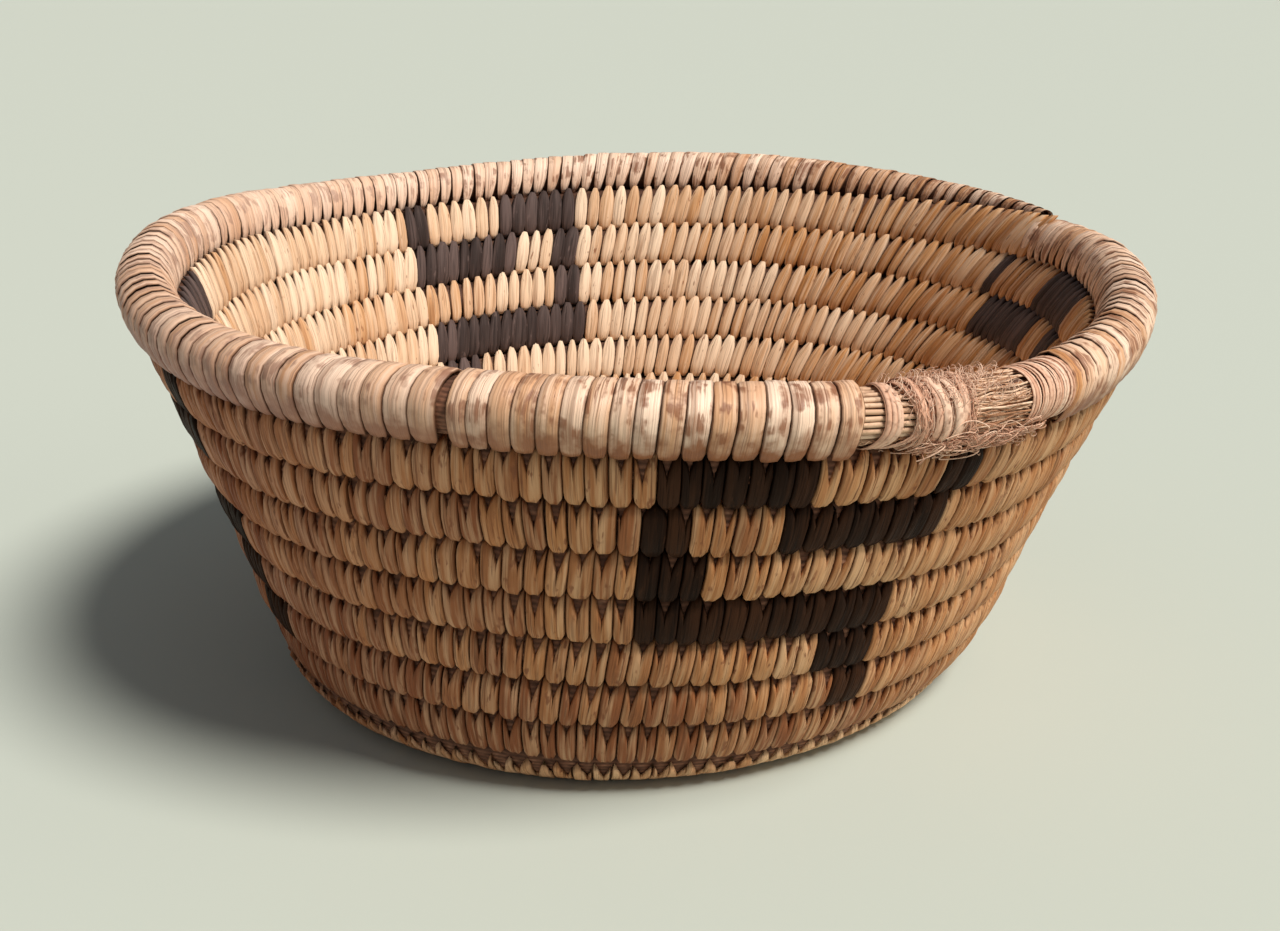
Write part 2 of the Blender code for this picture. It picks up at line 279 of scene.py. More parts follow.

# Painted shade and tint at the left: the leaves outside are darkened there as painted shade, and
# the rim's wraps are mixed towards a paler pink. Colour, strength and how it is mixed in
LEFT_SHADE_AND_TINT = {
    "light_splint": ((0.93, 0.82, 0.91, 1.0), 1.0, "MULTIPLY"),
    "rim_splint": ((0.84, 0.63, 0.51, 1.0), 0.3, "MIX"),
}
LEFT_FADE = (-0.01, -0.09)

# Painted shade on the lower outer side of the rim at the left
RIM_SHADE = (0.76, 0.62, 0.66, 1.0)
RIM_SHADE_FADE = (-0.02, -0.08)

# Noise drawn out along a stitch: lines across it, length, detail and shift
FIBRES = (7.0, 1.3, 3.0, 0.0)
STRIPS = (1.9, 0.8, 2.0, 5.0)
CRACKS = (3.6, 0.9, 2.0, 11.0)
FLECKS = (2.4, 4.0, 2.0, 9.0)

# Scales of the patches on the leaves, on the rim and on loose fibres, and depths of the relief
PATCH_SCALE = 240.0
RIM_PATCH_SCALE = 120.0
FIBRE_PATCH_SCALE = 900.0
SPLINT_RELIEF = 0.00035
GRASS_RELIEF = 0.0003

# Three tones of each fibre that no setting holds
BARE_STRAW = ((0.86, 0.62, 0.44), (0.70, 0.45, 0.29), (0.42, 0.20, 0.10))
TORN_LEAF = ((0.88, 0.62, 0.46), (0.68, 0.38, 0.25), (0.42, 0.18, 0.10))
GRASS = ((0.58, 0.31, 0.19), (0.36, 0.155, 0.085), (0.13, 0.050, 0.026))

# Camera, fitted to the viewing angle of the basket
CAMERA_TARGET = Vector((-0.00184, -0.00034, 0.04039))
CAMERA_DISTANCE = 0.37685
CAMERA_ELEVATION = math.radians(20.02)
CAMERA_ROLL = math.radians(-1.824)
CAMERA_LENS = 40.765
SENSOR_WIDTH = 36.0

# Lights: where each shines from, its spread in degrees, strength and colour
LIGHTS = {
    "key": ((0.45, -0.30, 0.84), 20.0, 3.9, (1.0, 0.96, 0.90)),
    "fill": ((0.96, -0.16, 0.22), 40.0, 0.6, (1.0, 0.93, 0.80)),
}
SKY_STRENGTH = 0.20
SKY_COLOUR = (0.90, 0.93, 0.98)
FLOOR_SIZE = 14.0

# Shapes, trees, looks and stitches that the pieces share
SHARED = {}


def smooth(value):
    """Ease from 0 to 1 without a corner."""
    share = np.clip(value, 0.0, 1.0)
    return share * share * (3.0 - 2.0 * share)


def running_sum(values):
    """Sum of the values up to each place, from 0."""
    return np.concatenate([[0.0], np.cumsum(values)])


def off(value, middle, spread):
    """Square of how many spreads a value lies from the middle of a patch."""
    return ((value - middle) / spread) ** 2


def wall_share(rounds):
    """Height on the wall as a share of all its rounds, from 0 on the base."""
    return np.clip(rounds / WALL_ROUNDS, 0.0, SHARE_LIMIT)


def start_share(rounds):
    """Share of its full thickness that the coil has near its thin start."""
    grown = (1.0 - START_THICKNESS) * (rounds - START_ROUNDS) / START_TAPER_ROUNDS
    return np.clip(START_THICKNESS + grown, START_THICKNESS, 1.0)


def wall_profile():
    """Radius and height of the coil's middle against rounds above the foot."""
    rounds = np.linspace(START_ROUNDS - PROFILE_MARGINS[0], END_ROUNDS + PROFILE_MARGINS[1],
                         PROFILE_STEPS)
    share = wall_share(rounds)
    wall = np.radians(LEAN_FOOT + LEAN_GAIN * share + LEAN_CURVE * share ** 2)
    corner = smooth((CORNER_TOP - rounds) / (CORNER_TOP - CORNER_BOTTOM))
    lean = wall + (math.pi / 2.0 - wall) * corner
    step = (rounds[1] - rounds[0]) * PITCH
    outward = np.sin(lean) * start_share(rounds) * (1.0 + BASE_SPREAD * corner)
    across = running_sum((outward[1:] + outward[:-1]) * step / 2.0)
    across = across - float(np.interp(START_ROUNDS, rounds, across)) + START_RADIUS
    rise = running_sum((np.cos(lean[1:]) + np.cos(lean[:-1])) * step / 2.0)
    return rounds, across, rise + BASE_HALF


PROFILE_ROUNDS, PROFILE_RADIUS, PROFILE_HEIGHT = wall_profile()


def wave(waves, angle):
    """Sum of a few waves round the rim."""
    return sum(c * np.cos(n * angle) + s * np.sin(n * angle) for n, c, s in waves)


def coil_angle(turn):
    """Angle of places along the coil, which runs clockwise seen from above."""
    return END_ANGLE + math.tau * (END_TURN - turn)


def coil_rounds(turn):
    """Rounds above the foot of places along the coil."""
    return turn - END_TURN + END_ROUNDS


def wall_radius(turn):
    """Distance of places along the coil from its axis."""
    return np.interp(coil_rounds(turn), PROFILE_ROUNDS, PROFILE_RADIUS)


def wall_point(rounds, angle):
    """Middle of the wall at heights, in rounds, and angles."""
    share = wall_share(rounds)
    swell = wave(RIM_SWELL_WAVES, angle) * share
    radius = np.interp(rounds, PROFILE_ROUNDS, PROFILE_RADIUS) * (1.0 + swell)
    height = np.interp(rounds, PROFILE_ROUNDS, PROFILE_HEIGHT) + wave(RIM_LIFT_WAVES, angle) * share
    x = radius * np.cos(angle) + BASE_OFFSET[0] * (1.0 - share) + BOWL_OFFSET[0]
    y = radius * np.sin(angle) + BASE_OFFSET[1] * (1.0 - share) + BOWL_OFFSET[1]
    return np.stack([x, y, height], axis=-1)


def thickness(turn):
    """Thickness of the coil, which tapers over its last stretch."""
    tapered = np.clip((turn - END_TURN + TAPER_TURNS) / TAPER_TURNS, 0.0, 1.0) ** TAPER_POWER
    return 1.0 - (1.0 - TAPER_THICKNESS) * tapered


def rim_share(turn):
    """0 on the wall and 1 on the rim."""
    return smooth((turn - RIM_START) / RIM_BLEND)


def unit(vectors):
    """Vectors of length one."""
    return vectors / np.linalg.norm(vectors, axis=-1, keepdims=True)


def coil_frames(turns):
    """Middle, along, outward and upward directions, half height and half depth of the coil."""
    turns = np.asarray(turns, dtype=float)
    rounds = coil_rounds(turns)
    angle = coil_angle(turns)
    thin = thickness(turns)
    above = wall_point(rounds + 1.0, angle)
    below = wall_point(rounds - 1.0, angle)
    up = unit(above - below)
    along = np.stack([-np.sin(angle), np.cos(angle), np.zeros_like(angle)], axis=-1)
    outward = np.cross(along, up)
    middle = wall_point(rounds - 0.5 * (1.0 - thin), angle)
    away = np.stack([np.cos(angle), np.sin(angle), np.zeros_like(angle)], axis=-1)
    middle = middle + away * (RIM_OVERHANG * rim_share(turns) * thin)[:, None]
    here = wall_point(rounds, angle)
    spans = np.linalg.norm(above - here, axis=-1) + np.linalg.norm(here - below, axis=-1)
    started = start_share(rounds)
    half_height = np.where(started < 1.0, PITCH / 2.0 * started, spans / 4.0)
    half_depth = BASE_HALF + (WALL_HALF - BASE_HALF) * smooth(rounds - 0.5)
    eased = 1.0 - CORNER_EASE * smooth(CORNER_REACH - np.abs(rounds - CORNER_MIDDLE))
    return middle, along, outward, up, half_height * thin, half_depth * eased * thin


def in_runs(turns, runs):
    """True where a place along the coil is in one of the runs."""
    inside = np.zeros(len(turns), dtype=bool)
    for low, high in runs:
        inside |= (turns >= low) & (turns <= high)
    return inside


def fret_runs(place):
    """First and last turn of the dark runs of one fret."""
    offset = END_ANGLE / math.tau
    return [(RIM_START - below - (FRET_STARTS[place] + last) / 360.0 + offset,
             RIM_START - below - (FRET_STARTS[place] + first) / 360.0 + offset)
            for below, first, last in FRET_RUNS.values()]


def rim_turn(degrees):
    """Turn at which the rim passes an angle."""
    return END_TURN - ((np.radians(degrees) - END_ANGLE) % math.tau) / math.tau


def base_places(width, first, last):
    """Turns of the stitches on the base, about one width apart."""
    turns = np.linspace(first, last, BASE_SAMPLES)
    counts = running_sum(math.tau * wall_radius(turns[:-1]) / width * (turns[1] - turns[0]))
    number = round(float(counts[-1]))
    return np.interp(np.arange(number) * counts[-1] / number, counts, turns)


def moving_mean(values, span):
    """Mean of each value and its neighbours round the ring."""
    window = np.ones(2 * span + 1) / (2 * span + 1)
    return np.convolve(np.concatenate([values[-span:], values, values[:span]]), window, "valid")


def added_round(block, width, advance, rng):
    """Stitches of the next round: one in each stitch below, and a few more where these are wide."""
    closed = np.append(block, block[0] + 1.0)
    length = math.tau * float(wall_radius(float(block.mean()) + 1.0))
    for _ in range(max(0, round(length / width) - len(block))):
        gaps = np.diff(closed)
        noise = rng.uniform(0.0, GAP_NOISE, len(gaps)) * gaps.mean()
        widest = int(np.argmax(moving_mean(gaps, GAP_SPAN) + noise))
        closed = np.insert(closed, widest + 1, (closed[widest] + closed[widest + 1]) / 2.0)
        gaps = np.diff(closed)
        for _ in range(GAP_EASING):
            gaps = 0.5 * gaps + 0.25 * (np.roll(gaps, 1) + np.roll(gaps, -1))
        closed = closed[0] + running_sum(gaps)
    return closed[:-1] + 1.0 - advance / length


def sewn_places(sizes):
    """Turns of all stitches from the start of the coil to its end."""
    rng = np.random.default_rng(RNG_SEED)
    wall_first = BASE_END - 1.0
    advance = math.tan(math.radians(sizes.outer_slant)) * PITCH
    places = [base_places(sizes.base_stitch, FIRST_STITCH, wall_first)]
    first_count = round(math.tau * float(wall_radius(wall_first + 0.5)) / sizes.base_stitch)
    block = wall_first + np.arange(first_count) / first_count
    while block[0] < END_TURN:
        places.append(block)
        grown = min(max((block[0] - wall_first) / GROWING_ROUNDS, 0.0), 1.0)
        width = sizes.base_stitch + (sizes.rim_stitch - sizes.base_stitch) * grown
        block = added_round(block, width, advance, rng)
    turns = np.concatenate(places)
    turns = turns[turns < END_TURN - END_MARGIN]
    jitter = rng.uniform(-1.0, 1.0, len(turns)) * sizes.unevenness * STITCH_JITTER
    return turns + jitter / (math.tau * wall_radius(turns))


class Sewing:
    """Every stitch of the basket with its place, size, slant, split and tone."""

    def __init__(self, sizes):
        rng = np.random.default_rng(RNG_SEED + 1)
        places = sewn_places(sizes)
        first, last = 2.0 * places[0] - places[1], 2.0 * places[-1] - places[-2]
        padded = np.concatenate([[first], places, [last]])
        self.edges = (padded[1:] + padded[:-1]) / 2.0
        self.open_lost_stitch()
        self.turn = (self.edges[1:] + self.edges[:-1]) / 2.0
        self.middle, self.along, outward, self.up, half_height, half_depth = coil_frames(self.turn)
        self.angle = coil_angle(self.turn)
        self.radius = wall_radius(self.turn)
        self.gap = (self.edges[1:] - self.edges[:-1]) * math.tau
        level = np.linalg.norm(outward[:, :2], axis=1) * half_depth
        self.outer_width = self.gap * (self.radius + level * OUTER_ROOM)
        self.inner_width = self.gap * np.maximum(self.radius - level * INNER_ROOM, LEAST_ROOM)
        self.height = half_height / (PITCH / 2.0)
        self.depth = half_depth / WALL_HALF
        self.outer_slope, self.notch = self.split_by_next(np.tan(self.outer_slant(sizes)))
        self.inner_slope = self.between_next(-np.tan(self.inner_slant(sizes)))
        self.tone = rng.uniform(0.0, 1.0, len(self.turn))
        self.seed = rng.uniform(0.0, 1.0, len(self.turn))
        self.spread = rng.normal(0.0, 1.0, (len(self.turn), 3))
        self.unevenness = sizes.unevenness
        self.rim = self.turn >= RIM_START + RIM_MARGIN
        self.base = self.turn < BASE_END
        self.dark = in_runs(self.turn, [run for place in FRET_STARTS for run in fret_runs(place)])

    def open_lost_stitch(self):
        """Draw the rim's stitches back from the narrow gap that a lost one leaves."""
        first, last = rim_turn(FRONT_STITCHES[0]), rim_turn(BACK_STITCHES_FROM)
        lost = int(np.searchsorted(self.edges, (first + last) / 2.0)) - 1
        moves = first - self.edges[lost], last - self.edges[lost + 1]
        for k in range(EASED_STITCHES):
            share = 1.0 - k / EASED_STITCHES
            self.edges[lost - k] += moves[0] * share
            self.edges[lost + 1 + k] += moves[1] * share

    def outer_slant(self, sizes):
        """Slant outside: more at the left, less low down at the right, most low down in front."""
        degrees = np.degrees(self.angle) % 360.0
        rounds = coil_rounds(self.turn)
        left = np.exp(-off(degrees, *LEFT_PATCH))
        right = np.exp(-off(degrees, *RIGHT_PATCH)) * (rounds / 4.0 - 1.1)
        front = np.exp(-off(degrees, *FRONT_PATCH) - off(rounds, *FRONT_PATCH_ROUNDS))
        return np.radians(sizes.outer_slant + sizes.side_slant * (left + right + 2.0 * front))

    def inner_slant(self, sizes):
        """Slant inside, which grows round the back to the right."""
        degrees = (np.degrees(self.angle) + 90.0) % 360.0 - 90.0
        (start, start_length), (end, end_length) = INNER_STRETCH_START, INNER_STRETCH_END
        grown = smooth((end - degrees) / end_length) * smooth((degrees - start) / start_length)
        return np.radians(sizes.inner_slant + sizes.inner_gain * grown)

    def exact_slope(self, slope, marks):
        """Slope that leads each stitch to the nearest mark in the round above."""
        reach = math.tau * self.radius
        landing = self.turn + 1.0 - slope * PITCH / reach
        nearest = np.round(np.interp(landing, marks, np.arange(len(marks)))).astype(int)
        exact = (self.turn + 1.0 - marks[nearest]) * reach / PITCH
        return np.where(landing < marks[-1], exact, slope)

    def split_by_next(self, slope):
        """Slope pulled towards the stitch above, and where that one splits it, from -1 to 1."""
        exact = self.exact_slope(slope, self.turn)
        pulled = slope + SPLIT_PULL * moving_mean(exact - slope, SLOPE_EASING)
        return pulled, wrapped((exact - pulled) * PITCH / (self.gap * self.radius / 2.0))

    def between_next(self, slope):
        """Slope that brings each leaf's point up between two stitches of the round above."""
        exact = self.exact_slope(slope, self.edges)
        return slope + moving_mean(exact - slope, SLOPE_EASING)


def leaf_mesh(name, lines, rows, place, ribbon=False):
    """Closed leaf: a grid of points from place(line, row), with a back face or a back ribbon."""
    mesh = bmesh.new()
    leaf = mesh.verts.layers.float_vector.new("leaf")
    grid = []
    for row in rows:
        ring = []
        for line in lines:
            point, note = place(line, row)
            vert = mesh.verts.new(point)
            vert[leaf] = note
            ring.append(vert)
        grid.append(ring)
    for lower, upper in zip(grid, grid[1:]):
        for k in range(len(lines) - 1):
            mesh.faces.new((lower[k], lower[k + 1], upper[k + 1], upper[k]))
        if ribbon:
            mesh.faces.new((lower[-1], lower[0], upper[0], upper[-1]))
    if ribbon:
        mesh.faces.new(grid[0][::-1])
        mesh.faces.new(grid[-1])
    else:
        sides = [ring[-1] for ring in grid], [ring[0] for ring in grid[-2::-1]]
        border = sides[0] + grid[-1][-2::-1] + sides[1] + grid[0][1:-1]
        mesh.faces.new(border[::-1])
    bmesh.ops.recalc_face_normals(mesh, faces=mesh.faces)
    data = bpy.data.meshes.new(name)
    mesh.to_mesh(data)
    mesh.free()
    data.shade_smooth()
    return bpy.data.objects.new(name, data)


def along_profile(profile, share):
    """Point at a share of a profile's length."""
    points = np.array(profile)
    lengths = running_sum(np.linalg.norm(np.diff(points, axis=0), axis=1))
    return np.array([np.interp(share * lengths[-1], lengths, column) for column in points.T])


def profile_normal(profile, share):
    """Outward normal of a profile in its own plane."""
    ahead = (along_profile(profile, min(share + NORMAL_STEP, 1.0))
             - along_profile(profile, max(share - NORMAL_STEP, 0.0)))
    return np.array([ahead[1], -ahead[0]]) / np.linalg.norm(ahead)


def turned_in(profile, across, share, edge_drop=EDGE_DROP):
    """Point of a profile, set in where the leaf's edges roll over and crowned in its middle."""
    edge = max(0.0, (abs(across) - EDGE_START) / (1.0 - EDGE_START))
    end = max(0.0, 1.0 - share / LOWER_END, (share - 1.0 + UPPER_END) / UPPER_END)
    inset = edge_drop * max(edge, end) + CROWN * across * across
    return along_profile(profile, share) - profile_normal(profile, share) * inset


def wrapped(place):
    """Place across a stitch brought back between its edges, where the next stitch repeats it."""
    return (place + 1.0) % 2.0 - 1.0


def outer_stitch(name, notch, split_heights):
    """Outer side of a stitch, split from its top where the stitch above bites into it."""
    steps = (-SPLIT_STEPS[3], -SPLIT_STEPS[1], 0.0, SPLIT_STEPS[1], SPLIT_STEPS[3], 1.0)
    lines = [-1.0, -EDGE_START, EDGE_START, 1.0]
    for line in [wrapped(notch + step) for step in steps] + [-0.5, 0.0, 0.5]:
        if all(abs(line - other) > LINE_SPACING for other in lines):
            lines.append(line)

    def place(line, row):
        away = abs(wrapped(line - notch))
        bottom = TIP_ROUNDING * abs(line) ** TIP_POWER
        top = float(np.interp(away, SPLIT_STEPS, split_heights))
        share = bottom + (top - bottom) * row
        out, height = turned_in(OUTER_PROFILE, line, share)
        if row == 0.0 or row == 1.0:
            out -= EDGE_DROP
        narrow = 1.0 - TIP_NARROWING * max(0.0, 1.0 - share / TIP_SHARE) ** 2
        point = line * narrow * 0.5 * NOMINAL_WIDTH, -out, height
        return point, (line, share, height - OUTER_PROFILE[0][1])

    return leaf_mesh(name, sorted(lines), OUTER_ROWS, place)


def inner_stitch(name, pinch):
    """Inner side of a stitch: a slender leaf, pointed at both ends."""

    def place(line, row):
        width = float(np.interp(row, *zip(*INNER_WIDTH))) * pinch
        out, height = turned_in(INNER_PROFILE, line, row)
        point = line * width * 0.5 * NOMINAL_WIDTH, out, height
        return point, (line, row, height - INNER_PROFILE[0][1])

    return leaf_mesh(name, EDGE_LINES, INNER_ROWS, place)


def rim_stitch(name):
    """A whole wrap over the rim, from its outer tip over the top to its inner tip."""

    def place(line, row):
        width = float(np.interp(row, *zip(*RIM_WIDTH)))
        rounding = RIM_TIP_ROUNDING * abs(line) ** RIM_TIP_POWER * (1.0 - 2.0 * min(row, 0.5))
        out, height = turned_in(RIM_PROFILE, line, row + rounding, RIM_EDGE_DROP)
        return (line * width * 0.5 * NOMINAL_WIDTH, -out, height), (line, row, row ** 2)

    return leaf_mesh(name, EDGE_LINES, RIM_ROWS, place, ribbon=True)


def shapes_collection(name, objects):
    """Stitch shapes kept out of the scene, in the order of their names."""
    kept = bpy.data.collections.new(name)
    for thing in objects:
        kept.objects.link(thing)
    return kept


class Nodes:
    """Short calls that build a node tree."""

    def __init__(self, tree):
        self.tree = tree

    def feed(self, socket, value):
        """Link a socket to another one, or set its value."""
        if isinstance(value, bpy.types.NodeSocket):
            self.tree.links.new(value, socket)
        else:
            socket.default_value = value

    def node(self, kind, inputs=None, **settings):
        """Add a node, set it up and link or fill its inputs."""
        made = self.tree.nodes.new(kind)
        for key, value in settings.items():
            setattr(made, key, value)
        for key, value in (inputs or {}).items():
            self.feed(made.inputs[key], value)
        return made

    def result(self, kind, inputs=None, **settings):
        """Add a node and give back its first output."""
        return self.node(kind, inputs, **settings).outputs[0]

    def math(self, operation, first, second=0.0):
        """Value of a sum or product."""
        return self.result("ShaderNodeMath", {0: first, 1: second}, operation=operation)

    def vector(self, operation, first, second):
        """Sum of two vectors, or a vector scaled by a value."""
        key = "Scale" if operation == "SCALE" else 1
        return self.result("ShaderNodeVectorMath", {0: first, key: second}, operation=operation)


class Tree(Nodes):
    """A geometry node tree with named inputs."""

    def __init__(self, name):
        super().__init__(bpy.data.node_groups.new(name, "GeometryNodeTree"))
        for way in ("INPUT", "OUTPUT"):
            self.tree.interface.new_socket("Geometry", in_out=way,
                                           socket_type="NodeSocketGeometry")
        self.start = self.tree.nodes.new("NodeGroupInput")
        self.end = self.tree.nodes.new("NodeGroupOutput")

    def input(self, name, kind, default=None):
        """Add a named input and give back its socket on the input node."""
        item = self.tree.interface.new_socket(name, in_out="INPUT", socket_type=kind)
        if default is not None:
            item.default_value = default
        return self.start.outputs[name]

    def named(self, name, data_type="FLOAT"):
        """Socket that reads a named attribute."""
        made = self.node("GeometryNodeInputNamedAttribute", {"Name": name}, data_type=data_type)
        return next(socket for socket in made.outputs
                    if socket.enabled and socket.name == "Attribute")

    def finish(self, geometry, look):
        """Give the result its material and join it to the tree's end."""
        made = self.result("GeometryNodeSetMaterial", {"Geometry": geometry, "Material": look})
        self.tree.links.new(made, self.end.inputs["Geometry"])
        return self.tree


def wobble(build, geometry, size, amount, seed):
    """Move points by a smooth noise that depends on their place."""
    where = build.result("GeometryNodeInputPosition")
    shifted = build.vector("ADD", where, (seed * 3.1, seed * 1.7, seed * 0.9))
    noise = build.node("ShaderNodeTexNoise", {"Vector": shifted, "Scale": size, "Detail": 1.0})
    centred = build.vector("SUBTRACT", noise.outputs["Color"], (0.5, 0.5, 0.5))
    offset = build.vector("SCALE", centred, amount)
    return build.result("GeometryNodeSetPosition", {"Geometry": geometry, "Offset": offset})


def sewing_tree():
    """Tree that sets a stitch on each guide point, slants it and roughens it."""
    build = Tree("Sewing")
    shapes = build.input("Stitch Shapes", "NodeSocketCollection")
    uneven = build.input("Unevenness", "NodeSocketFloat", ROUGHNESS)
    rows = build.input("Row Wobble", "NodeSocketFloat", ROW_WOBBLE)
    look = build.input("Material", "NodeSocketMaterial")
    source = build.result("GeometryNodeCollectionInfo", {
        "Collection": shapes, "Separate Children": True, "Reset Children": True})
    along = build.named("along", "FLOAT_VECTOR")
    turned = build.result("FunctionNodeAxesToRotation", {
        "Primary Axis": build.named("upward", "FLOAT_VECTOR"), "Secondary Axis": along},
        primary_axis="Z", secondary_axis="X")
    sewn = build.result("GeometryNodeInstanceOnPoints", {
        "Points": build.start.outputs["Geometry"], "Instance": source, "Pick Instance": True,
        "Instance Index": build.named("shape", "INT"), "Rotation": turned,
        "Scale": build.named("size", "FLOAT_VECTOR")})
    real = build.result("GeometryNodeRealizeInstances", {"Geometry": sewn})
    leaf = build.node("ShaderNodeSeparateXYZ", {0: build.named("leaf", "FLOAT_VECTOR")})
    reach = build.math("MULTIPLY", leaf.outputs["Z"], build.named("slope"))
    slanted = build.result("GeometryNodeSetPosition", {
        "Geometry": real, "Offset": build.vector("SCALE", along, reach)})
    rough = wobble(build, slanted, ROUGH_SCALE, uneven, 1.0)
    return build.finish(wobble(build, rough, ROW_WOBBLE_SCALE, rows, 2.0), look)


def strand_tree():
    """Tree that draws each row of guide points out into a strand, round or flat."""
    build = Tree("Strands")
    sides = build.input("Sides", "NodeSocketInt", 6)
    flatness = build.input("Flatness", "NodeSocketFloat", 1.0)
    look = build.input("Material", "NodeSocketMaterial")
    curve = build.result("GeometryNodeMeshToCurve", {"Mesh": build.start.outputs["Geometry"]})
    facing = build.result("GeometryNodeSetCurveNormal", {
        "Curve": curve, "Normal": build.named("away", "FLOAT_VECTOR")}, mode="FREE")
    circle = build.result("GeometryNodeCurvePrimitiveCircle", {"Resolution": sides, "Radius": 1.0})
    pressed = build.result("ShaderNodeCombineXYZ", {0: flatness, 1: 1.0, 2: 1.0})
    profile = build.result("GeometryNodeTransform", {"Geometry": circle, "Scale": pressed})
    drawn = build.result("GeometryNodeCurveToMesh", {
        "Curve": facing, "Profile Curve": profile, "Scale": build.named("thick"),
        "Fill Caps": True})
    return build.finish(build.result("GeometryNodeRealizeInstances", {"Geometry": drawn}), look)


def note_points(data, **notes):
    """Store named whole numbers, numbers or vectors on a mesh's points."""
    for name, values in notes.items():
        whole = values.dtype.kind == "i"
        kind = "INT" if whole else "FLOAT" if values.ndim == 1 else "FLOAT_VECTOR"
        layer = data.attributes.new(name, kind, "POINT")
        layer.data.foreach_set("vector" if kind == "FLOAT_VECTOR" else "value", values.ravel())


def guide_points(name, points, edges=(), **notes):
    """Mesh of points, loose or in rows, that carries the given notes."""
    data = bpy.data.meshes.new(name)
    data.from_pydata([tuple(point) for point in points], edges, [])
    note_points(data, **notes)
    return bpy.data.objects.new(name, data)


def grown_mesh(guide, tree, values, name):
    """Run a tree on its guide and keep the result as a plain mesh object."""
    bpy.context.collection.objects.link(guide)
    modifier = guide.modifiers.new(tree.name, "NODES")
    modifier.node_group = tree
    for item in tree.interface.items_tree:
        if item.in_out == "INPUT" and item.name in values:
            modifier[item.identifier] = values[item.name]
    bpy.context.view_layer.update()
    evaluated = guide.evaluated_get(bpy.context.evaluated_depsgraph_get())
    data = bpy.data.meshes.new_from_object(evaluated)
    guide.modifiers.remove(modifier)
    bpy.data.objects.remove(guide, do_unlink=True)
    data.name = name
    made = bpy.data.objects.new(name, data)
    bpy.context.collection.objects.link(made)
    return made


def above_floor(thing):
    """Press what would sink into the floor flat on it."""
    places = np.empty(len(thing.data.vertices) * 3)
    thing.data.vertices.foreach_get("co", places)
    places[2::3] = np.maximum(places[2::3], FLOOR_GAP)
    thing.data.vertices.foreach_set("co", places)
    thing.data.update()


def sew(sewing, chosen, side, name, look, tone):
    """Sew the chosen stitches on one side of the coil as one mesh."""
    seed = sewing.seed[chosen]
    room = (sewing.inner_width if side.endswith("inner") else sewing.outer_width)[chosen]
    if side.endswith("outer"):
        slope = sewing.outer_slope[chosen]
        shape = np.round((sewing.notch[chosen] + 1.0) * NOTCH_PLACES / 2.0).astype(int)
        shape = shape % NOTCH_PLACES + NOTCH_PLACES * (seed * len(SPLIT_HEIGHTS)).astype(int)
    elif side.endswith("inner"):
        slope = sewing.inner_slope[chosen]
        shape = (seed * len(INNER_PINCHES)).astype(int)
    else:
        slope = sewing.gap[chosen] * sewing.radius[chosen] * RIM_SLOPE
        shape = np.zeros(len(seed), dtype=int)
    spread = sewing.spread[chosen] * sewing.unevenness
    narrowed = 1.0 - SIZE_SPREADS[0] * np.abs(spread[:, 0])
    size = np.stack([room / NOMINAL_WIDTH * WIDTH_SHARES[side] * narrowed,
                     sewing.depth[chosen] * (1.0 + SIZE_SPREADS[1] * spread[:, 1]),
                     sewing.height[chosen] * (1.0 + SIZE_SPREADS[2] * spread[:, 2])], axis=-1)
    guide = guide_points(name, sewing.middle[chosen], upward=sewing.up[chosen],
                         along=sewing.along[chosen], size=size, shape=shape, slope=slope,
                         tint=np.stack([tone[chosen], seed, sewing.tone[chosen]], axis=-1))
    made = grown_mesh(guide, SHARED["tree"], {
        "Stitch Shapes": SHARED[side], "Material": look,
        "Unevenness": ROUGHNESS * sewing.unevenness,
        "Row Wobble": ROW_WOBBLE * sewing.unevenness}, name)
    above_floor(made)
    return made


def round_bundle(degrees, around, reach):
    """Places round the rim's bundle and the way out there; around is 0 outside and grows upward."""
    middle, _, outward, up, _, _ = coil_frames(rim_turn(degrees))
    away = outward * np.cos(around)[:, None] + up * np.sin(around)[:, None]
    return middle + away * reach[:, None] - up * BUNDLE_DROP, away


class Strands:
    """Fibres as rows of points with the way out of the bundle, a thickness and a tone."""

    def __init__(self, seed):
        self.rng = np.random.default_rng(seed)
        self.edges = []
        self.rows = {"points": [], "away": [], "thick": [], "tint": []}

    def add(self, points, away, thick, tone):
        """Add one strand."""
        first = sum(len(row) for row in self.rows["points"])
        self.edges += [(first + k, first + k + 1) for k in range(len(points) - 1)]
        tint = np.tile([0.0, self.rng.uniform(), self.rng.uniform()], (len(points), 1))
        tint[:, 0] = tone
        thick = np.broadcast_to(thick, len(points))
        for row, values in zip(self.rows.values(), (points, away, thick, tint)):
            row.append(values)

    def lay(self, kind, degrees, around, rise=0.0, reach=None):
        """Add a strand of a kind round the rim's bundle."""
        if reach is None:
            reach = kind.reach + rise + self.wander(kind.steps, kind.ripple)
        points, away = round_bundle(degrees, around, reach)
        self.add(points, away, self.rng.uniform(*kind.thick), self.rng.uniform(*kind.tone))

    def wander(self, steps, amount):
        """Smooth wandering along a strand."""
        along = np.linspace(0.0, 1.0, steps)
        return sum(self.rng.normal() * amount / bends
                   * np.sin(math.pi * bends * along + self.rng.uniform(0.0, 6.3))
                   for bends in (1, 2, 4))

    def drawn(self, name, look, sides=6, flatness=1.0):
        """Draw the strands out as one mesh object."""
        rows = {key: np.concatenate(row) for key, row in self.rows.items()}
        guide = guide_points(name, rows.pop("points"), self.edges, **rows)
        return grown_mesh(guide, SHARED["strand_tree"], {
            "Sides": sides, "Flatness": flatness, "Material": SHARED[look]}, name)


def join(name, parts):
    """Join meshes into one object under a name."""
    with bpy.context.temp_override(active_object=parts[0], selected_editable_objects=parts,
                                   object=parts[0], selected_objects=parts):
        bpy.ops.object.join()
    parts[0].name = name
    parts[0].data.name = name
    return parts[0]


def solid(colour, gain=1.0):
    """Opaque colour, darker by a gain below 1."""
    return (*[part * gain for part in colour], 1.0)


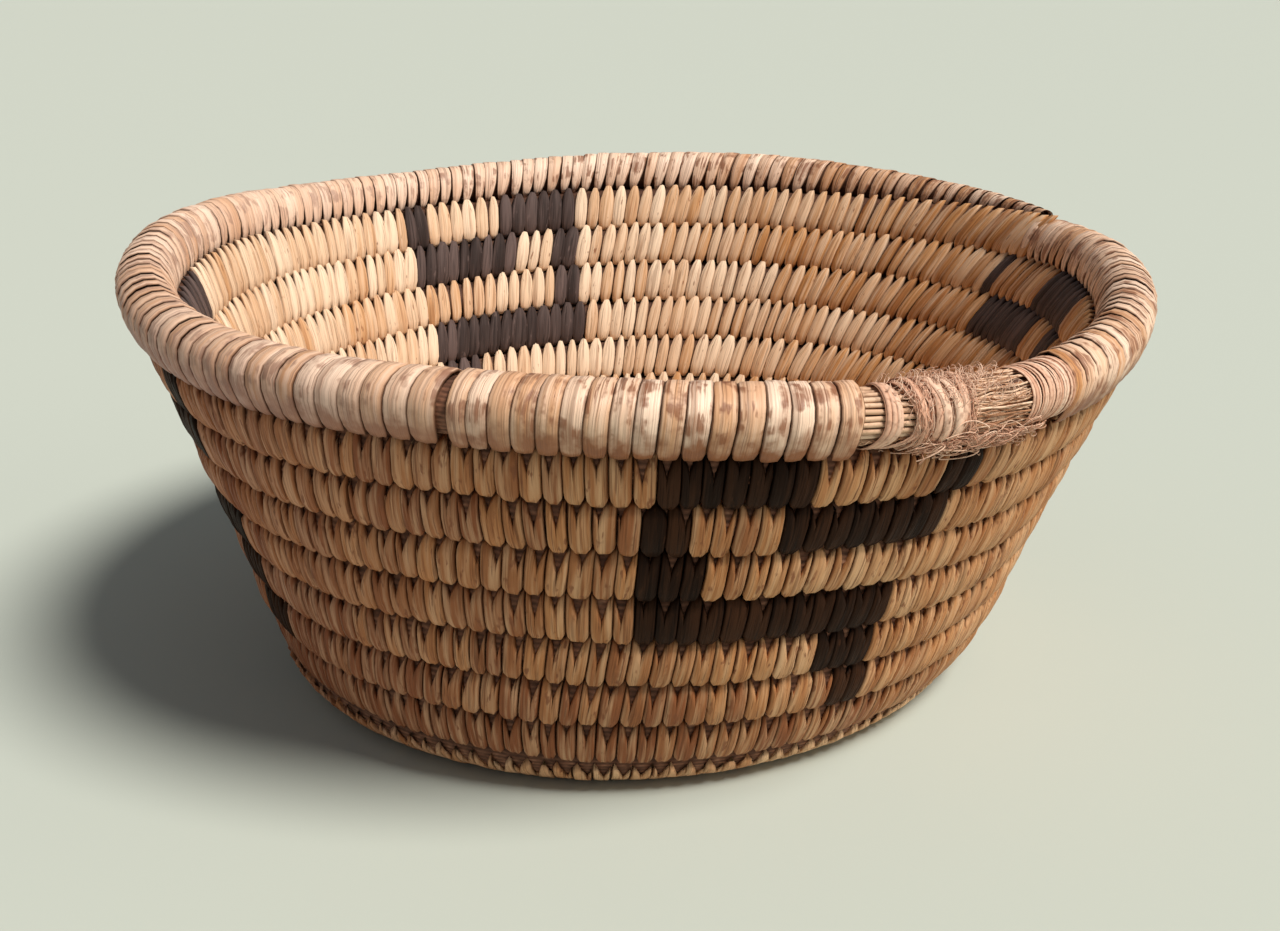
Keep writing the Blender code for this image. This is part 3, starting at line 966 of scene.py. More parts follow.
class Look(Nodes):
    """A material, built with short calls."""

    def __init__(self, name, roughness, shine=0.35):
        self.material = bpy.data.materials.new(name)
        self.material.use_nodes = True
        super().__init__(self.material.node_tree)
        self.shader = self.tree.nodes["Principled BSDF"]
        self.give("Roughness", roughness)
        self.give("Specular IOR Level", shine)

    def give(self, name, value):
        """Set or link one of the surface's sockets."""
        self.feed(self.shader.inputs[name], value)

    def raised(self, relief, distance):
        """Raise the surface by a relief."""
        self.give("Normal", self.result("ShaderNodeBump", {
            "Strength": 0.6, "Distance": distance, "Height": relief}))

    def parts(self, name):
        """Parts of a vector that the mesh carries."""
        carried = self.node("ShaderNodeAttribute", attribute_name=name).outputs["Vector"]
        return self.node("ShaderNodeSeparateXYZ", {0: carried}).outputs

    def place(self):
        """Place on the object."""
        return self.node("ShaderNodeTexCoord").outputs["Object"]

    def mixed(self, share, first, second, blend="MIX"):
        """Colour mixed from two."""
        return self.node("ShaderNodeMix", {0: share, 6: first, 7: second}, data_type="RGBA",
                         blend_type=blend).outputs[2]

    def toned(self, tone, pale, tan, brown):
        """Colour between three tones."""
        low = self.mixed(self.ranged(tone, 0.0, 0.5), pale, tan)
        return self.mixed(self.ranged(tone, 0.5, 1.0), low, brown)

    def ranged(self, value, low, high, new_low=0.0, new_high=1.0):
        """Value moved from one range to another and held inside it."""
        return self.result("ShaderNodeMapRange", {
            0: value, 1: low, 2: high, 3: new_low, 4: new_high})

    def noise(self, vector, scale, detail):
        """Grey noise at a place."""
        return self.result("ShaderNodeTexNoise", {
            "Vector": vector, "Scale": scale, "Detail": detail})


def splint_look(name, colours, fleck, fleck_share, roughness, shine, grain_and_shade=1.0):
    """Split leaf: fibre lines along the stitch, a tone for each, flecks, and painted shade at its
    edges and its lower tip.
    """
    look = Look(name, roughness, shine)
    leaf, tint = look.parts("leaf"), look.parts("tint")
    across, height = leaf["X"], leaf["Y"]
    offset = look.math("MULTIPLY", tint["Y"], 57.0)

    def streaks(fine, long, detail, shift):
        """Noise drawn out along the stitch."""
        drawn = look.result("ShaderNodeCombineXYZ", {
            0: look.math("MULTIPLY", across, fine), 1: look.math("MULTIPLY", height, long),
            2: look.math("ADD", offset, shift)})
        return look.noise(drawn, 1.0, detail)

    fibres, strips, cracks = streaks(*FIBRES), streaks(*STRIPS), streaks(*CRACKS)
    pale, tan, brown = (solid(tone) for tone in colours)
    deep = solid(colours[2], 0.5)
    colour = look.toned(tint["X"], pale, tan, brown)
    colour = look.mixed(look.ranged(strips, 0.42, 0.68, 0.0, 0.55), colour, pale)
    colour = look.mixed(look.ranged(strips, 0.42, 0.3, 0.0, 0.45), colour, brown)
    colour = look.mixed(look.ranged(fibres, 0.5, 0.68, 0.0, 0.5 * grain_and_shade), colour, deep)
    colour = look.mixed(look.ranged(cracks, 0.62, 0.66, 0.0, 0.6 * grain_and_shade), colour, deep)
    patches = look.noise(look.place(), PATCH_SCALE, 3.0)
    flecks = look.math(
        "MULTIPLY", look.ranged(streaks(*FLECKS), 0.99 - fleck_share, 1.05 - fleck_share),
        look.ranged(patches, 0.48, 0.58))
    colour = look.mixed(look.math("MULTIPLY", flecks, 0.8), colour, solid(fleck))
    if name == "rim_splint":
        # Towards the wrap's outer lower end the colour turns to brown, in patches
        darker_low_end = look.math("ADD", height, look.math("MULTIPLY", patches, -0.5))
        colour = look.mixed(look.ranged(darker_low_end, 0.06, -0.16), colour, brown)
        broad = look.noise(look.place(), RIM_PATCH_SCALE, 4.0)
        broad = look.math("MULTIPLY", look.ranged(broad, 0.60, 0.66, 0.0, 0.65),
                          look.ranged(fibres, 0.35, 0.55))
        colour = look.mixed(broad, colour, solid(fleck))
    # At the left the leaves outside are darkened as painted shade, and the rim's wraps are mixed
    # towards a paler pink
    if name in LEFT_SHADE_AND_TINT:
        east = look.node("ShaderNodeSeparateXYZ", {0: look.place()}).outputs["X"]
        left_shade_and_tint, strength, blend = LEFT_SHADE_AND_TINT[name]
        left = look.ranged(east, *LEFT_FADE, 0.0, strength)
        colour = look.mixed(left, colour, left_shade_and_tint, blend)
        if name == "rim_splint":
            # Painted shade on the rim's lower outer side at the left
            left = look.math("MULTIPLY", look.ranged(east, *RIM_SHADE_FADE),
                             look.ranged(height, 0.44, 0.2))
            colour = look.mixed(left, colour, RIM_SHADE, "MULTIPLY")
    # Painted shade at the leaf's edges, where it meets its neighbours, and at its lower tip, which
    # tucks under the round below
    edge = look.ranged(look.math("ABSOLUTE", across), EDGE_START, 0.98)
    dark = look.math("ADD", look.math("MULTIPLY", tint["Z"], 0.35), 0.6 * grain_and_shade)
    edge_and_tip_shade = look.math("MAXIMUM", look.math("MULTIPLY", edge, dark),
                     look.ranged(height, 0.08, 0.0, 0.0, 0.7))
    look.give("Base Color", look.mixed(edge_and_tip_shade, colour, solid(colours[2], 0.3)))
    look.give("Roughness", look.ranged(fibres, 0.3, 0.7, roughness - 0.08, roughness + 0.12))
    relief = look.math("ADD", fibres, look.math("MULTIPLY", cracks, -0.8))
    look.raised(relief, SPLINT_RELIEF)
    return look.material


def grass_look(name, colours):
    """Dry stems lying along the coil: each its own brown, with fine lines between, and painted
    shade on the side turned away from the outside and along the bare stretch.
    """
    look = Look(name, 0.75)
    leaf, tint = look.parts("leaf"), look.parts("tint")
    stem = look.result("ShaderNodeCombineXYZ", {
        0: look.math("MULTIPLY", leaf["X"], 26.0), 1: look.math("MULTIPLY", leaf["Y"], 40.0),
        2: 3.0})
    lines = look.noise(stem, 1.0, 3.0)
    pale, brown, deep = (solid(tone) for tone in colours)
    colour = look.mixed(look.ranged(lines, 0.35, 0.62), deep, brown)
    colour = look.mixed(look.ranged(lines, 0.6, 0.8), colour, pale)
    # Darker in the lines between the stems, and painted shade where the bundle turns away from the
    # outside and along its bare stretch
    groove_and_shade = look.math("MULTIPLY", look.math("SUBTRACT", 1.0, tint["X"]), 0.85)
    look.give("Base Color", look.mixed(groove_and_shade, colour, solid(colours[2], 0.3)))
    look.raised(lines, GRASS_RELIEF)
    return look.material


def strand_look(name, colours):
    """Loose fibre: its own tone, darker in places."""
    look = Look(name, 0.6)
    colour = look.toned(look.parts("tint")["X"], *(solid(tone) for tone in colours))
    patches = look.noise(look.place(), FIBRE_PATCH_SCALE, 2.0)
    darker = look.ranged(patches, 0.5, 0.7, 0.0, 0.5)
    look.give("Base Color", look.mixed(darker, colour, solid(colours[2], 0.6)))
    return look.material


def placed(thing, slot, *nodes):
    """Put a finished piece under the root in place of the nodes that it dresses, which are hidden.
    """
    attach(thing, "root")
    if nodes:
        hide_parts(*nodes)


def length_setting(name, description, default):
    """A length that a user may change."""
    return FloatProperty(name=name, description=description, default=default, unit="LENGTH")


def slant_setting(name, description, default):
    """A slant in degrees that a user may change."""
    return FloatProperty(name=name, description=f"{description}, in degrees", default=default)


def colour_setting(name, description, default):
    """A colour that a user may change."""
    return FloatVectorProperty(name=name, description=description, subtype="COLOR",
                               default=default)


class BasketSizes(bpy.types.PropertyGroup):
    """Sizes of the sewing."""
    base_stitch: length_setting("Base Stitch", "Width of a stitch on the base", 0.0040)
    rim_stitch: length_setting("Rim Stitch", "Width of a stitch at the rim", 0.0041)
    outer_slant: slant_setting("Outer Slant", "Slant of the stitches outside", 2.0)
    side_slant: slant_setting("Side Slant", "Extra slant in patches round the front", 5.0)
    inner_slant: slant_setting("Inner Slant", "Slant of the stitches inside", 5.0)
    inner_gain: slant_setting("Inner Gain", "Extra slant inside at the right", 20.0)
    unevenness: FloatProperty(name="Unevenness", default=1.0, min=0.0, max=2.0,
                              description="How much the stitches differ from each other")
    stem_ribs: IntProperty(name="Stem Ribs", description="Ribs round the grass bundle",
                           default=32)


class BasketColours(bpy.types.PropertyGroup):
    """Colours of the fibres and the stage."""
    pale: colour_setting("Pale Straw", "Palest leaf", (0.93, 0.71, 0.51))
    # Darker than the palest leaf inside, whose paler tone paints in a sheen
    outer_pale: colour_setting("Outer Pale Straw", "Palest leaf outside", (0.80, 0.51, 0.29))
    tan: colour_setting("Tan", "Usual leaf", (0.60, 0.285, 0.10))
    brown: colour_setting("Reddish Brown", "Darkest light leaf", (0.32, 0.115, 0.038))
    fleck: colour_setting("Fleck", "Worn red-brown fleck", (0.24, 0.085, 0.035))
    dark: colour_setting("Dark Splint", "Near-black splint", (0.021, 0.0078, 0.0032))
    # Paler than the dark splint outside: it paints in the sheen on the dark splints inside
    dark_inside: colour_setting("Dark Splint Inside", "Near-black splint, paler inside",
                                (0.058, 0.040, 0.036))
    floor: colour_setting("Floor", "Plain pale floor", (0.52, 0.56, 0.50))
    backdrop: colour_setting("Backdrop", "Plain colour behind the floor", (0.70, 0.74, 0.67))


def gained(tones, gains):
    """Tones with a gain on each of their parts."""
    return [tuple(part * gain for part, gain in zip(tone, gains)) for tone in tones]


def prepare():
    """Make the shapes, the trees, the sewing and the materials that the pieces share."""
    if SHARED:
        return
    paint = bpy.context.scene.basket_colours
    tones = [tuple(tone) for tone in (paint.pale, paint.tan, paint.brown)]
    places = [-1.0 + 2.0 * k / NOTCH_PLACES for k in range(NOTCH_PLACES)]
    for key, splits in (("outer", SPLIT_HEIGHTS), ("dark_outer", DARK_SPLIT_HEIGHTS)):
        SHARED[key] = shapes_collection(key, [outer_stitch(f"{key}_{split}_{k}", notch, heights)
                                              for split, heights in enumerate(splits)
                                              for k, notch in enumerate(places)])
    SHARED["inner"] = shapes_collection("inner_shapes", [
        inner_stitch(f"inner_{k}", pinch) for k, pinch in enumerate(INNER_PINCHES)])
    SHARED["dark_inner"] = SHARED["inner"]
    SHARED["rim"] = shapes_collection("rim_shapes", [rim_stitch("rim_0")])
    SHARED["tree"] = sewing_tree()
    SHARED["strand_tree"] = strand_tree()
    SHARED["sewing"] = Sewing(bpy.context.scene.basket_sizes)
    SHARED["straw"] = strand_look("bare_straw", BARE_STRAW)
    SHARED["fibre"] = strand_look("torn_fibre", TORN_LEAF)
    SHARED["grass"] = grass_look("grass_bundle", GRASS)
    fleck = tuple(paint.fleck)
    # The leaves inside take the paler tones, which paint in the sheen seen on them; the leaves
    # outside take their own palest tone and darker gained tones
    outside = (tuple(paint.outer_pale), *gained(tones[1:], OUTER_GAIN))
    SHARED["outer_look"] = splint_look("light_splint", outside, fleck, 0.40, 0.6, 0.2)
    SHARED["inner_look"] = splint_look("light_splint_inside", tones, fleck, 0.34, 0.62, 0.2, 0.7)
    SHARED["rim_look"] = splint_look("rim_splint", gained(tones, RIM_GAIN), fleck, 0.52, 0.48, 0.4)
    # A dark splint's palest tone, also its fleck, is a painted highlight on its glossy fibres
    for side, dark in (("outer", tuple(paint.dark)), ("inner", tuple(paint.dark_inside))):
        shades = [tuple(part * gain for part in dark) for gain in DARK_HIGHLIGHT_AND_TONE_GAINS]
        SHARED[f"dark_{side}_look"] = splint_look(f"dark_splint_{side}", shades, shades[0],
                                                  0.36, 0.56, 0.08)


def light_tone_and_shade(sewing, side):
    """Tone of the light stitches, with painted light and shade: outside darker at the left and on
    the low rows as painted shade, with the bottom row painted paler against its shade; inside
    palest at the back as painted light and darker at the sides, most at the right, as painted
    shade; on the rim paler at the back, darker at the front left and redder at the back right.
    """
    rounds = coil_rounds(sewing.turn)
    degrees = np.degrees(sewing.angle) % 360.0
    east = np.cos(sewing.angle - math.radians(10.0))
    if side == "outer":
        # Painted shade: darker at the left and on the low rows; the bottom row is painted paler
        # against the shade that falls on it
        low = smooth((3.0 - rounds) / 3.0) * smooth((rounds + 0.4) / 1.2)
        lit = np.exp(-off(degrees, *LIT_PATCH) - off(rounds, *LIT_PATCH_ROUNDS))
        level = (0.66 - 0.26 * east + 0.38 * low * (1.0 - 0.8 * np.maximum(east, 0.0))
                 - 0.50 * smooth((0.4 - rounds) / 0.6) - 0.24 * lit)
    elif side == "inner":
        # Painted light at the back and painted shade at the sides inside, most at the right
        level = 0.03 + 0.38 * np.abs(east) + 0.20 * east
    else:
        north = np.maximum(np.sin(sewing.angle), 0.0)
        southwest = np.maximum(-np.cos(sewing.angle - math.radians(60.0)), 0.0)
        reddish = np.exp(-off(degrees, *RED_PATCH))
        level = 0.22 - 0.16 * north + 0.08 * southwest + 0.24 * reddish
    patch = np.sin(sewing.turn * math.tau * 3.1 + 0.7) * np.sin(sewing.turn * 8.3)
    return np.clip(level + 0.08 * patch + (sewing.tone - 0.5) * 0.5, 0.0, 1.0)


def sew_both(name, chosen, kind=""):
    """Sew both sides of the chosen stitches as one piece."""
    sewing = SHARED["sewing"]
    made = [sew(sewing, chosen, kind + side, f"{name}_{side}", SHARED[f"{kind}{side}_look"],
                sewing.tone if kind else light_tone_and_shade(sewing, side))
            for side in ("outer", "inner")]
    return join(name, made)


class BASKET_OT_bundle(bpy.types.Operator):
    """Lay the grass bundle along the coil"""
    bl_idname = "basket.bundle"
    bl_label = "Grass Bundle"

    def execute(self, context):
        prepare()
        turns = [0.0]
        while turns[-1] < BUNDLE_END - 0.001:
            radius = max(float(wall_radius(turns[-1])), BUNDLE_LEAST_RADIUS)
            turns.append(min(turns[-1] + BUNDLE_STEP / (math.tau * radius), BUNDLE_END))
        bare_run = rim_turn(BARE_BUNDLE[1] + 1.0), rim_turn(FRONT_STITCHES[1] - 0.2)
        steps = [place + shift for place in bare_run for shift in (-STEP_LENGTH, STEP_LENGTH)]
        turns = np.sort(np.concatenate([turns, steps]))
        middle, _, outward, up, half_height, half_depth = coil_frames(turns)
        length = running_sum(np.linalg.norm(np.diff(middle, axis=0), axis=1))
        bare = in_runs(turns, [bare_run])
        deep = half_depth - BUNDLE_SINK
        deep = np.where(bare, deep * BUNDLE_BARE_SHARE, deep)[:, None]
        high = half_height + BUNDLE_OVERLAP
        top = np.where(bare, high * BUNDLE_BARE_SHARE,
                       high - BUNDLE_RIM_LOSS * rim_share(turns))[:, None]
        sides = context.scene.basket_sizes.stem_ribs * 2
        ribs = np.arange(sides) % 2
        relief = 1.0 - RIB_RELIEF * ribs
        angles = (np.arange(sides) / sides * math.tau)[None, :] + (length * BUNDLE_TWIST)[:, None]
        rise = np.sin(angles) * np.where(np.sin(angles) > 0.0, top, high[:, None]) * relief
        places = (middle[:, None, :]
                  + outward[:, None, :] * (np.cos(angles) * deep * relief)[:, :, None]
                  + up[:, None, :] * rise[:, :, None])
        rings = len(turns)
        faces = [(k * sides + j, (k + 1) * sides + j, (k + 1) * sides + (j + 1) % sides,
                  k * sides + (j + 1) % sides) for k in range(rings - 1) for j in range(sides)]
        faces.append(tuple(range(sides)))
        faces.append(tuple((rings - 1) * sides + j for j in reversed(range(sides))))
        data = bpy.data.meshes.new("grass_bundle")
        data.from_pydata(places.reshape(-1, 3).tolist(), [], faces)
        leaf = np.zeros(places.shape)
        leaf[:, :, 0] = np.arange(sides) / sides
        leaf[:, :, 1] = length[:, None] * 10.0
        tint = np.ones(places.shape)
        # Painted shade: much darker on the side turned away from the outside and along the bare
        # stretch under the loose stems
        out_of_shade = (0.1 + 0.9 * smooth(np.cos(angles) * 2.0)) * np.where(bare, 0.1, 1.0)[:, None]
        tint[:, :, 0] = (1.0 - 0.7 * ribs) * out_of_shade
        note_points(data, leaf=leaf, tint=tint)
        data.shade_smooth()
        data.materials.append(SHARED["grass"])
        bundle = bpy.data.objects.new("grass_bundle", data)
        context.collection.objects.link(bundle)
        above_floor(bundle)
        placed(bundle, "grass_bundle", "foundation_coil")
        return {"FINISHED"}


class BASKET_OT_base(bpy.types.Operator):
    """Sew the flat base and its wrapped start"""
    bl_idname = "basket.base"
    bl_label = "Base Stitches"

    def execute(self, context):
        prepare()
        placed(sew_both("base_leaf_stitches", SHARED["sewing"].base), "light_splint",
               "base_stitches", "start_wrap")
        knot = Strands(RNG_SEED + 8)
        centre = wall_point(START_ROUNDS, 0.0) - np.array([START_RADIUS, 0.0, 0.0])
        along = np.linspace(-1.0, 1.0, 9)
        for side in (1.0, -1.0):
            away = np.tile([0.0, 0.0, side], (len(along), 1))
            for k in range(KNOT_STRIPS):
                turned = math.pi * (k + 0.3) / KNOT_STRIPS
                ahead, aside = math.cos(turned), math.sin(turned)
                shift = np.array([-aside, ahead, 0.0]) * knot.rng.uniform(-1.0, 1.0) * KNOT_SHIFT
                height = side * (KNOT_HEIGHT + KNOT_LAYER * k - KNOT_DROP * along ** 2)
                points = centre + shift + np.stack([
                    ahead * along * KNOT_REACH, aside * along * KNOT_REACH, height], axis=-1)
                knot.add(points, away, KNOT_THICK, knot.rng.uniform(0.0, 0.6))
        placed(knot.drawn("start_knot", "fibre", flatness=0.35), "light_splint")
        return {"FINISHED"}


class BASKET_OT_wall(bpy.types.Operator):
    """Sew the eight light rounds of the wall"""
    bl_idname = "basket.wall"
    bl_label = "Wall Stitches"

    def execute(self, context):
        prepare()
        sewing = SHARED["sewing"]
        for number in range(1, WALL_ROUNDS + 1):
            start = BASE_END + number - 1
            end = start + 1.0 if number < WALL_ROUNDS else END_TURN
            chosen = (sewing.turn >= start) & (sewing.turn < end) & ~sewing.dark & ~sewing.rim
            placed(sew_both(f"wall_stitches_{number}", chosen), "light_splint",
                   f"light_stitches_round_{number}")
        return {"FINISHED"}


class BASKET_OT_frets(bpy.types.Operator):
    """Sew the four dark stepped frets"""
    bl_idname = "basket.frets"
    bl_label = "Dark Frets"

    def execute(self, context):
        prepare()
        for place in FRET_STARTS:
            chosen = in_runs(SHARED["sewing"].turn, fret_runs(place))
            placed(sew_both(f"{place}_dark_fret", chosen, "dark_"), "dark_splint",
                   *[f"{place}_fret_{part}" for part in FRET_RUNS])
        return {"FINISHED"}


class BASKET_OT_rim(bpy.types.Operator):
    """Wrap the rim between its breaks"""
    bl_idname = "basket.rim"
    bl_label = "Rim Wraps"

    def execute(self, context):
        prepare()
        sewing = SHARED["sewing"]
        runs = {
            "right": (RIM_START, rim_turn(SPLIT_STRETCH[1])),
            "front": (rim_turn(FRONT_STITCHES[1]), rim_turn(FRONT_STITCHES[0])),
            "back": (rim_turn(BACK_STITCHES_FROM), END_TURN),
        }
        for place, run in runs.items():
            chosen = in_runs(sewing.turn, [run]) & sewing.rim
            made = sew(sewing, chosen, "rim", f"{place}_rim_wraps", SHARED["rim_look"],
                       light_tone_and_shade(sewing, "rim"))
            placed(made, "rim_splint", f"rim_stitches_{place}")
        return {"FINISHED"}


class BASKET_OT_stems(bpy.types.Operator):
    """Lay the bundle's bare stems side by side, and its broken brush"""
    bl_idname = "basket.stems"
    bl_label = "Bare Stems"

    def execute(self, context):
        prepare()
        stems = Strands(RNG_SEED + 2)
        rng = stems.rng
        for place in np.linspace(*STEM_PLACES, STEM.count):
            stems.lay(STEM, np.linspace(*STEM_STRETCH, STEM.steps),
                      place + stems.wander(STEM.steps, 0.02))
        for _ in range(CROSSED.count):
            first = rng.uniform(*STEM_STRETCH)
            degrees = np.linspace(first, first + rng.uniform(-2.4, -1.0), CROSSED.steps)
            stems.lay(CROSSED, degrees + stems.wander(CROSSED.steps, 0.1),
                      np.linspace(-0.3, rng.uniform(-1.7, -1.2), CROSSED.steps))
        placed(stems.drawn("bare_stems", "straw"), "grass_bundle")
        brush = Strands(RNG_SEED + 3)
        rng = brush.rng
        along = np.linspace(0.0, 1.0, BRUSH.steps)
        for k in range(BRUSH.count):
            broken = k % 5 < 2
            last = (rng.uniform(*BROKEN_ENDS) if broken
                    else BRUSH_STRETCH[1] + rng.uniform(0.0, 0.8))
            degrees = np.linspace(BRUSH_STRETCH[0] + rng.uniform(0.0, 2.0), last, BRUSH.steps)
            flare = along ** 3 * rng.uniform(0.0, 0.0016) * broken
            reach = (BRUSH.reach * math.sqrt(rng.uniform(0.3, 1.0)) - 0.0002 + flare
                     + brush.wander(BRUSH.steps, BRUSH.ripple))
            around = rng.uniform(0.0, math.tau) + brush.wander(BRUSH.steps, 0.11)
            thick = rng.uniform(*BRUSH.thick) * (np.linspace(1.0, 0.5, BRUSH.steps) if broken
                                                 else 1.0)
            tone = rng.choice([1.0, rng.uniform(*BRUSH.tone)], p=[0.15, 0.85])
            brush.add(*round_bundle(degrees, around, reach), thick,
                      np.linspace(tone, 1.3 if broken else tone, BRUSH.steps) ** 1.5)
        placed(brush.drawn("broken_brush", "straw", sides=5), "grass_bundle")
        return {"FINISHED"}


class BASKET_OT_shreds(bpy.types.Operator):
    """Leave torn splints clinging round the bare bundle, with their loose hairs"""
    bl_idname = "basket.shreds"
    bl_label = "Torn Shreds"

    def execute(self, context):
        prepare()
        strips = Strands(RNG_SEED + 4)
        rng = strips.rng
        steps = TORN_STRIP.steps
        for k in range(TORN_STRIP.count):
            middle = rng.uniform(SHREDS[0] + 0.2, SHREDS[1] - 0.2)
            around = np.linspace(rng.uniform(-2.4, -1.6), rng.uniform(2.6, 3.8), steps)
            degrees = (middle + strips.wander(steps, 0.35)
                       + rng.uniform(-0.9, 0.9) * np.linspace(-1.0, 1.0, steps))
            strips.lay(TORN_STRIP, degrees, around, STRIP_LAYER * k)
        placed(strips.drawn("torn_strips", "fibre", flatness=0.14), "torn_splint",
               "rim_torn_shreds")
        fibres = Strands(RNG_SEED + 5)
        rng = fibres.rng
        steps = TORN_FIBRE.steps
        for _ in range(TORN_FIBRE.count):
            middle = rng.uniform(SHREDS[0] - 0.6, SHREDS[1] + 0.6)
            first = rng.uniform(-2.2, 1.2)
            around = (np.linspace(first, first + rng.uniform(0.8, 2.6), steps)
                      + fibres.wander(steps, 0.06))
            fibres.lay(TORN_FIBRE, middle + fibres.wander(steps, 0.4), around)
        for _ in range(LOOSE_HAIR.count):
            curl = rng.uniform(0.5, 1.3) * 0.001
            sweep = np.linspace(0.0, rng.uniform(2.0, 5.0), LOOSE_HAIR.steps)
            curled = 1.0 - np.cos(sweep)
            around = (rng.uniform(0.9, 2.3)
                      + rng.choice([-1.0, 1.0]) * np.sin(sweep) * curl / 0.006)
            degrees = rng.triangular(*LOOSE_STRETCH) + (sweep * 0.10 + curled * 0.2)
            fibres.lay(LOOSE_HAIR, degrees, around, reach=LOOSE_HAIR.reach + curled * curl)
        steps = TANGLED_HAIR.steps
        for _ in range(TANGLED_HAIR.count):
            around = rng.uniform(-1.25, -0.35) + fibres.wander(steps, 0.3)
            degrees = rng.uniform(*TANGLE_STRETCH) + fibres.wander(steps, 1.6)
            reach = TANGLED_HAIR.reach + np.abs(fibres.wander(steps, TANGLED_HAIR.ripple))
            fibres.lay(TANGLED_HAIR, degrees, around, reach=reach)
        placed(fibres.drawn("torn_fibres", "fibre", sides=4), "torn_splint")
        return {"FINISHED"}


class BASKET_OT_strips(bpy.types.Operator):
    """Wrap the worn band and the split splints beside the bare bundle"""
    bl_idname = "basket.strips"
    bl_label = "Split Strips"

    def execute(self, context):
        prepare()
        band = Strands(RNG_SEED + 6)
        around = np.linspace(-2.3, 3.6, WORN_STRIP.steps)
        sweep = 1.1 * smooth((0.3 - around) / 1.4)
        for share in np.linspace(0.0, 1.0, WORN_STRIP.count):
            degrees = WORN_BAND_START + 0.1 + 1.3 * share - sweep
            band.lay(WORN_STRIP, degrees + band.wander(WORN_STRIP.steps, 0.08), around,
                     band.rng.uniform(0.0, 0.0004))
        around = np.linspace(-1.5, 2.6, LEANING_STRIP.steps)
        for k in range(LEANING_STRIP.count):
            degrees = LEANING_FROM + 0.1 * k - 3.2 * smooth((0.2 - around) / 1.6)
            band.lay(LEANING_STRIP, degrees + band.wander(LEANING_STRIP.steps, 0.06), around,
                     0.0001 * (k % 3))
        placed(band.drawn("worn_band", "fibre", flatness=0.3), "rim_splint", "rim_stitches_band")
        split = Strands(RNG_SEED + 7)
        steps = SPLIT_STRIP.steps
        around = np.linspace(-2.4, 3.9, steps)
        for k in range(SPLIT_STRIP.count):
            start = np.interp(k, (0, SPLIT_STRIP.count - 1), SPLIT_STRETCH)
            degrees = (start + split.wander(steps, 0.16) - 0.5 * np.linspace(-1.0, 1.0, steps)
                       + 0.25 * np.sin(around * 1.5))
            split.lay(SPLIT_STRIP, degrees, around, split.rng.uniform(0.0, 0.0003))
        placed(split.drawn("split_wraps", "fibre", flatness=0.3), "rim_splint")
        return {"FINISHED"}


def sun_light(name, place, spread, strength, colour):
    """Soft light from far away that shines from a place towards the basket."""
    data = bpy.data.lights.new(name, "SUN")
    data.angle = math.radians(spread)
    data.energy = strength
    data.color = colour
    lamp = bpy.data.objects.new(name, data)
    lamp.rotation_euler = (-Vector(place)).to_track_quat("-Z", "Y").to_euler()
    bpy.context.collection.objects.link(lamp)


def plain_sky(seen):
    """Even light from all round, which the camera sees as one plain colour."""
    world = bpy.data.worlds.new("studio")
    world.use_nodes = True
    build = Nodes(world.node_tree)
    light = build.tree.nodes["Background"]
    build.feed(light.inputs["Color"], solid(SKY_COLOUR))
    build.feed(light.inputs["Strength"], SKY_STRENGTH)
    backdrop = build.result("ShaderNodeBackground", {"Color": solid(seen)})
    path = build.node("ShaderNodeLightPath")
    mixed = build.result("ShaderNodeMixShader", {
        0: path.outputs["Is Camera Ray"], 1: light.outputs[0], 2: backdrop})
    build.feed(build.tree.nodes["World Output"].inputs["Surface"], mixed)
    return world


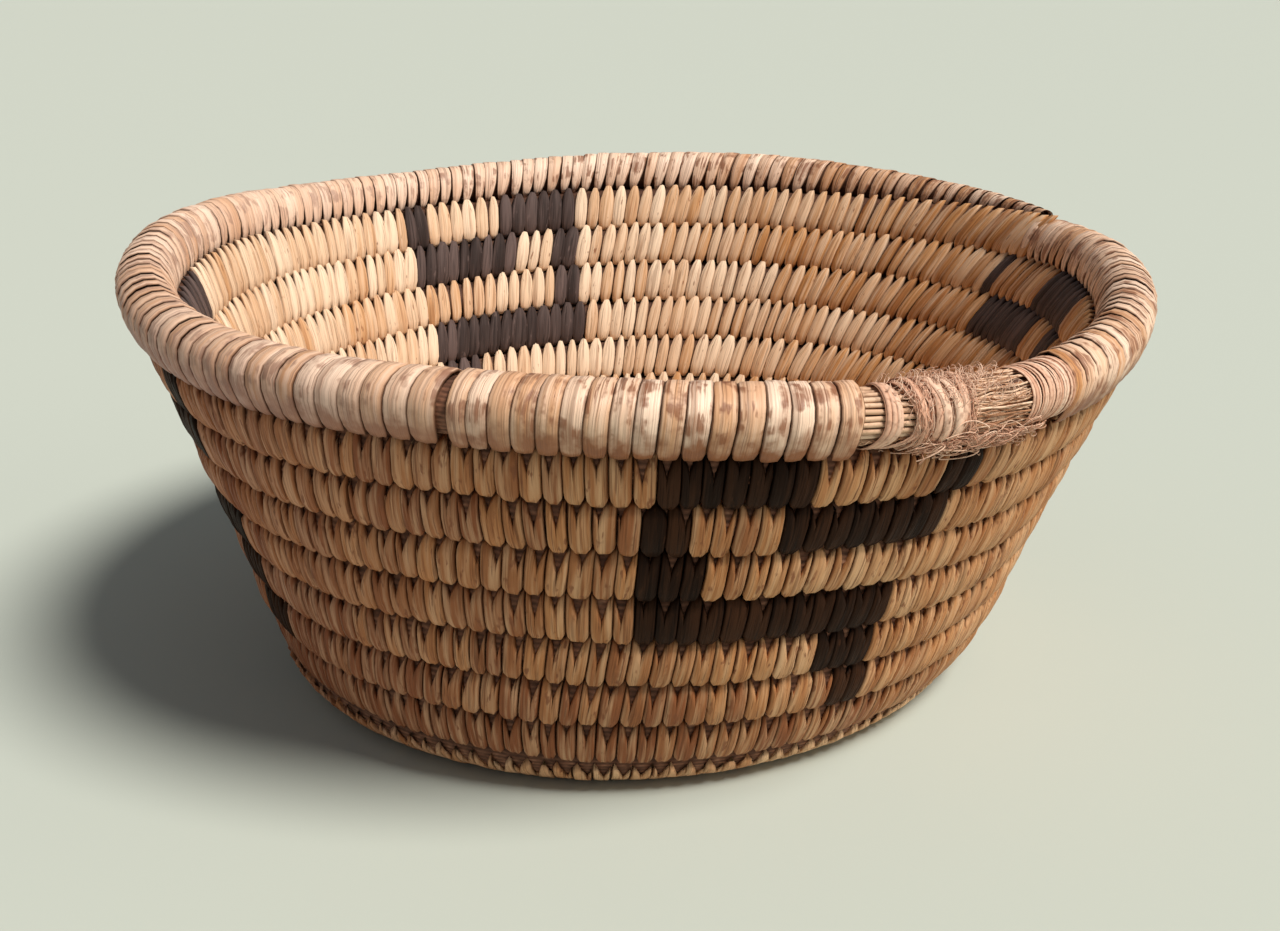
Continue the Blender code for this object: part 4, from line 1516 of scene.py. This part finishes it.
class BASKET_OT_stage(bpy.types.Operator):
    """Set the floor, the lights and the camera"""
    bl_idname = "basket.stage"
    bl_label = "Stage"

    def execute(self, context):
        paint = context.scene.basket_colours
        bpy.ops.mesh.primitive_plane_add(size=FLOOR_SIZE, location=(0.0, 0.0, 0.0))
        floor = context.active_object
        floor.name = "floor"
        look = Look("plain_floor", 0.9, 0.1)
        look.give("Base Color", solid(paint.floor))
        floor.data.materials.append(look.material)
        for name, light in LIGHTS.items():
            sun_light(name, *light)
        context.scene.world = plain_sky(paint.backdrop)
        forward = Vector((0.0, math.cos(CAMERA_ELEVATION), -math.sin(CAMERA_ELEVATION)))
        right = Vector((1.0, 0.0, 0.0))
        up = right.cross(forward)
        rolled_right = right * math.cos(CAMERA_ROLL) + up * math.sin(CAMERA_ROLL)
        rolled_up = up * math.cos(CAMERA_ROLL) - right * math.sin(CAMERA_ROLL)
        data = bpy.data.cameras.new("camera")
        data.lens = CAMERA_LENS
        data.sensor_width = SENSOR_WIDTH
        data.sensor_fit = "HORIZONTAL"
        data.clip_start = 0.01
        data.clip_end = 50.0
        camera = bpy.data.objects.new("camera", data)
        basis = Matrix((rolled_right, rolled_up, -forward)).transposed().to_4x4()
        place = CAMERA_TARGET - forward * CAMERA_DISTANCE
        camera.matrix_world = Matrix.Translation(place) @ basis
        context.collection.objects.link(camera)
        context.scene.camera = camera
        context.scene.view_settings.view_transform = "Standard"
        return {"FINISHED"}


STEPS = (BASKET_OT_bundle, BASKET_OT_base, BASKET_OT_wall, BASKET_OT_frets, BASKET_OT_rim,
         BASKET_OT_stems, BASKET_OT_shreds, BASKET_OT_strips, BASKET_OT_stage)


class BASKET_PT_panel(bpy.types.Panel):
    """Sizes, colours and steps of the basket"""
    bl_label = "Coiled Basket"
    bl_idname = "BASKET_PT_panel"
    bl_space_type = "VIEW_3D"
    bl_region_type = "UI"
    bl_category = "Basket"

    def draw(self, context):
        for group in (context.scene.basket_sizes, context.scene.basket_colours):
            for key in group.__annotations__:
                self.layout.prop(group, key)
        for step in STEPS:
            self.layout.operator(step.bl_idname)


CLASSES = (BasketSizes, BasketColours, *STEPS, BASKET_PT_panel)


def register():
    """Add the basket's classes to Blender."""
    for kind in CLASSES:
        bpy.utils.register_class(kind)
    bpy.types.Scene.basket_sizes = PointerProperty(type=BasketSizes)
    bpy.types.Scene.basket_colours = PointerProperty(type=BasketColours)


def unregister():
    """Take the basket's classes out again."""
    del bpy.types.Scene.basket_colours
    del bpy.types.Scene.basket_sizes
    for kind in reversed(CLASSES):
        bpy.utils.unregister_class(kind)


def main():
    """Make the basket and its stage."""
    register()
    bpy.ops.basket.bundle()
    bpy.ops.basket.base()
    bpy.ops.basket.wall()
    bpy.ops.basket.frets()
    bpy.ops.basket.rim()
    bpy.ops.basket.stems()
    bpy.ops.basket.shreds()
    bpy.ops.basket.strips()
    bpy.ops.basket.stage()


if __name__ == "__main__":
    main()
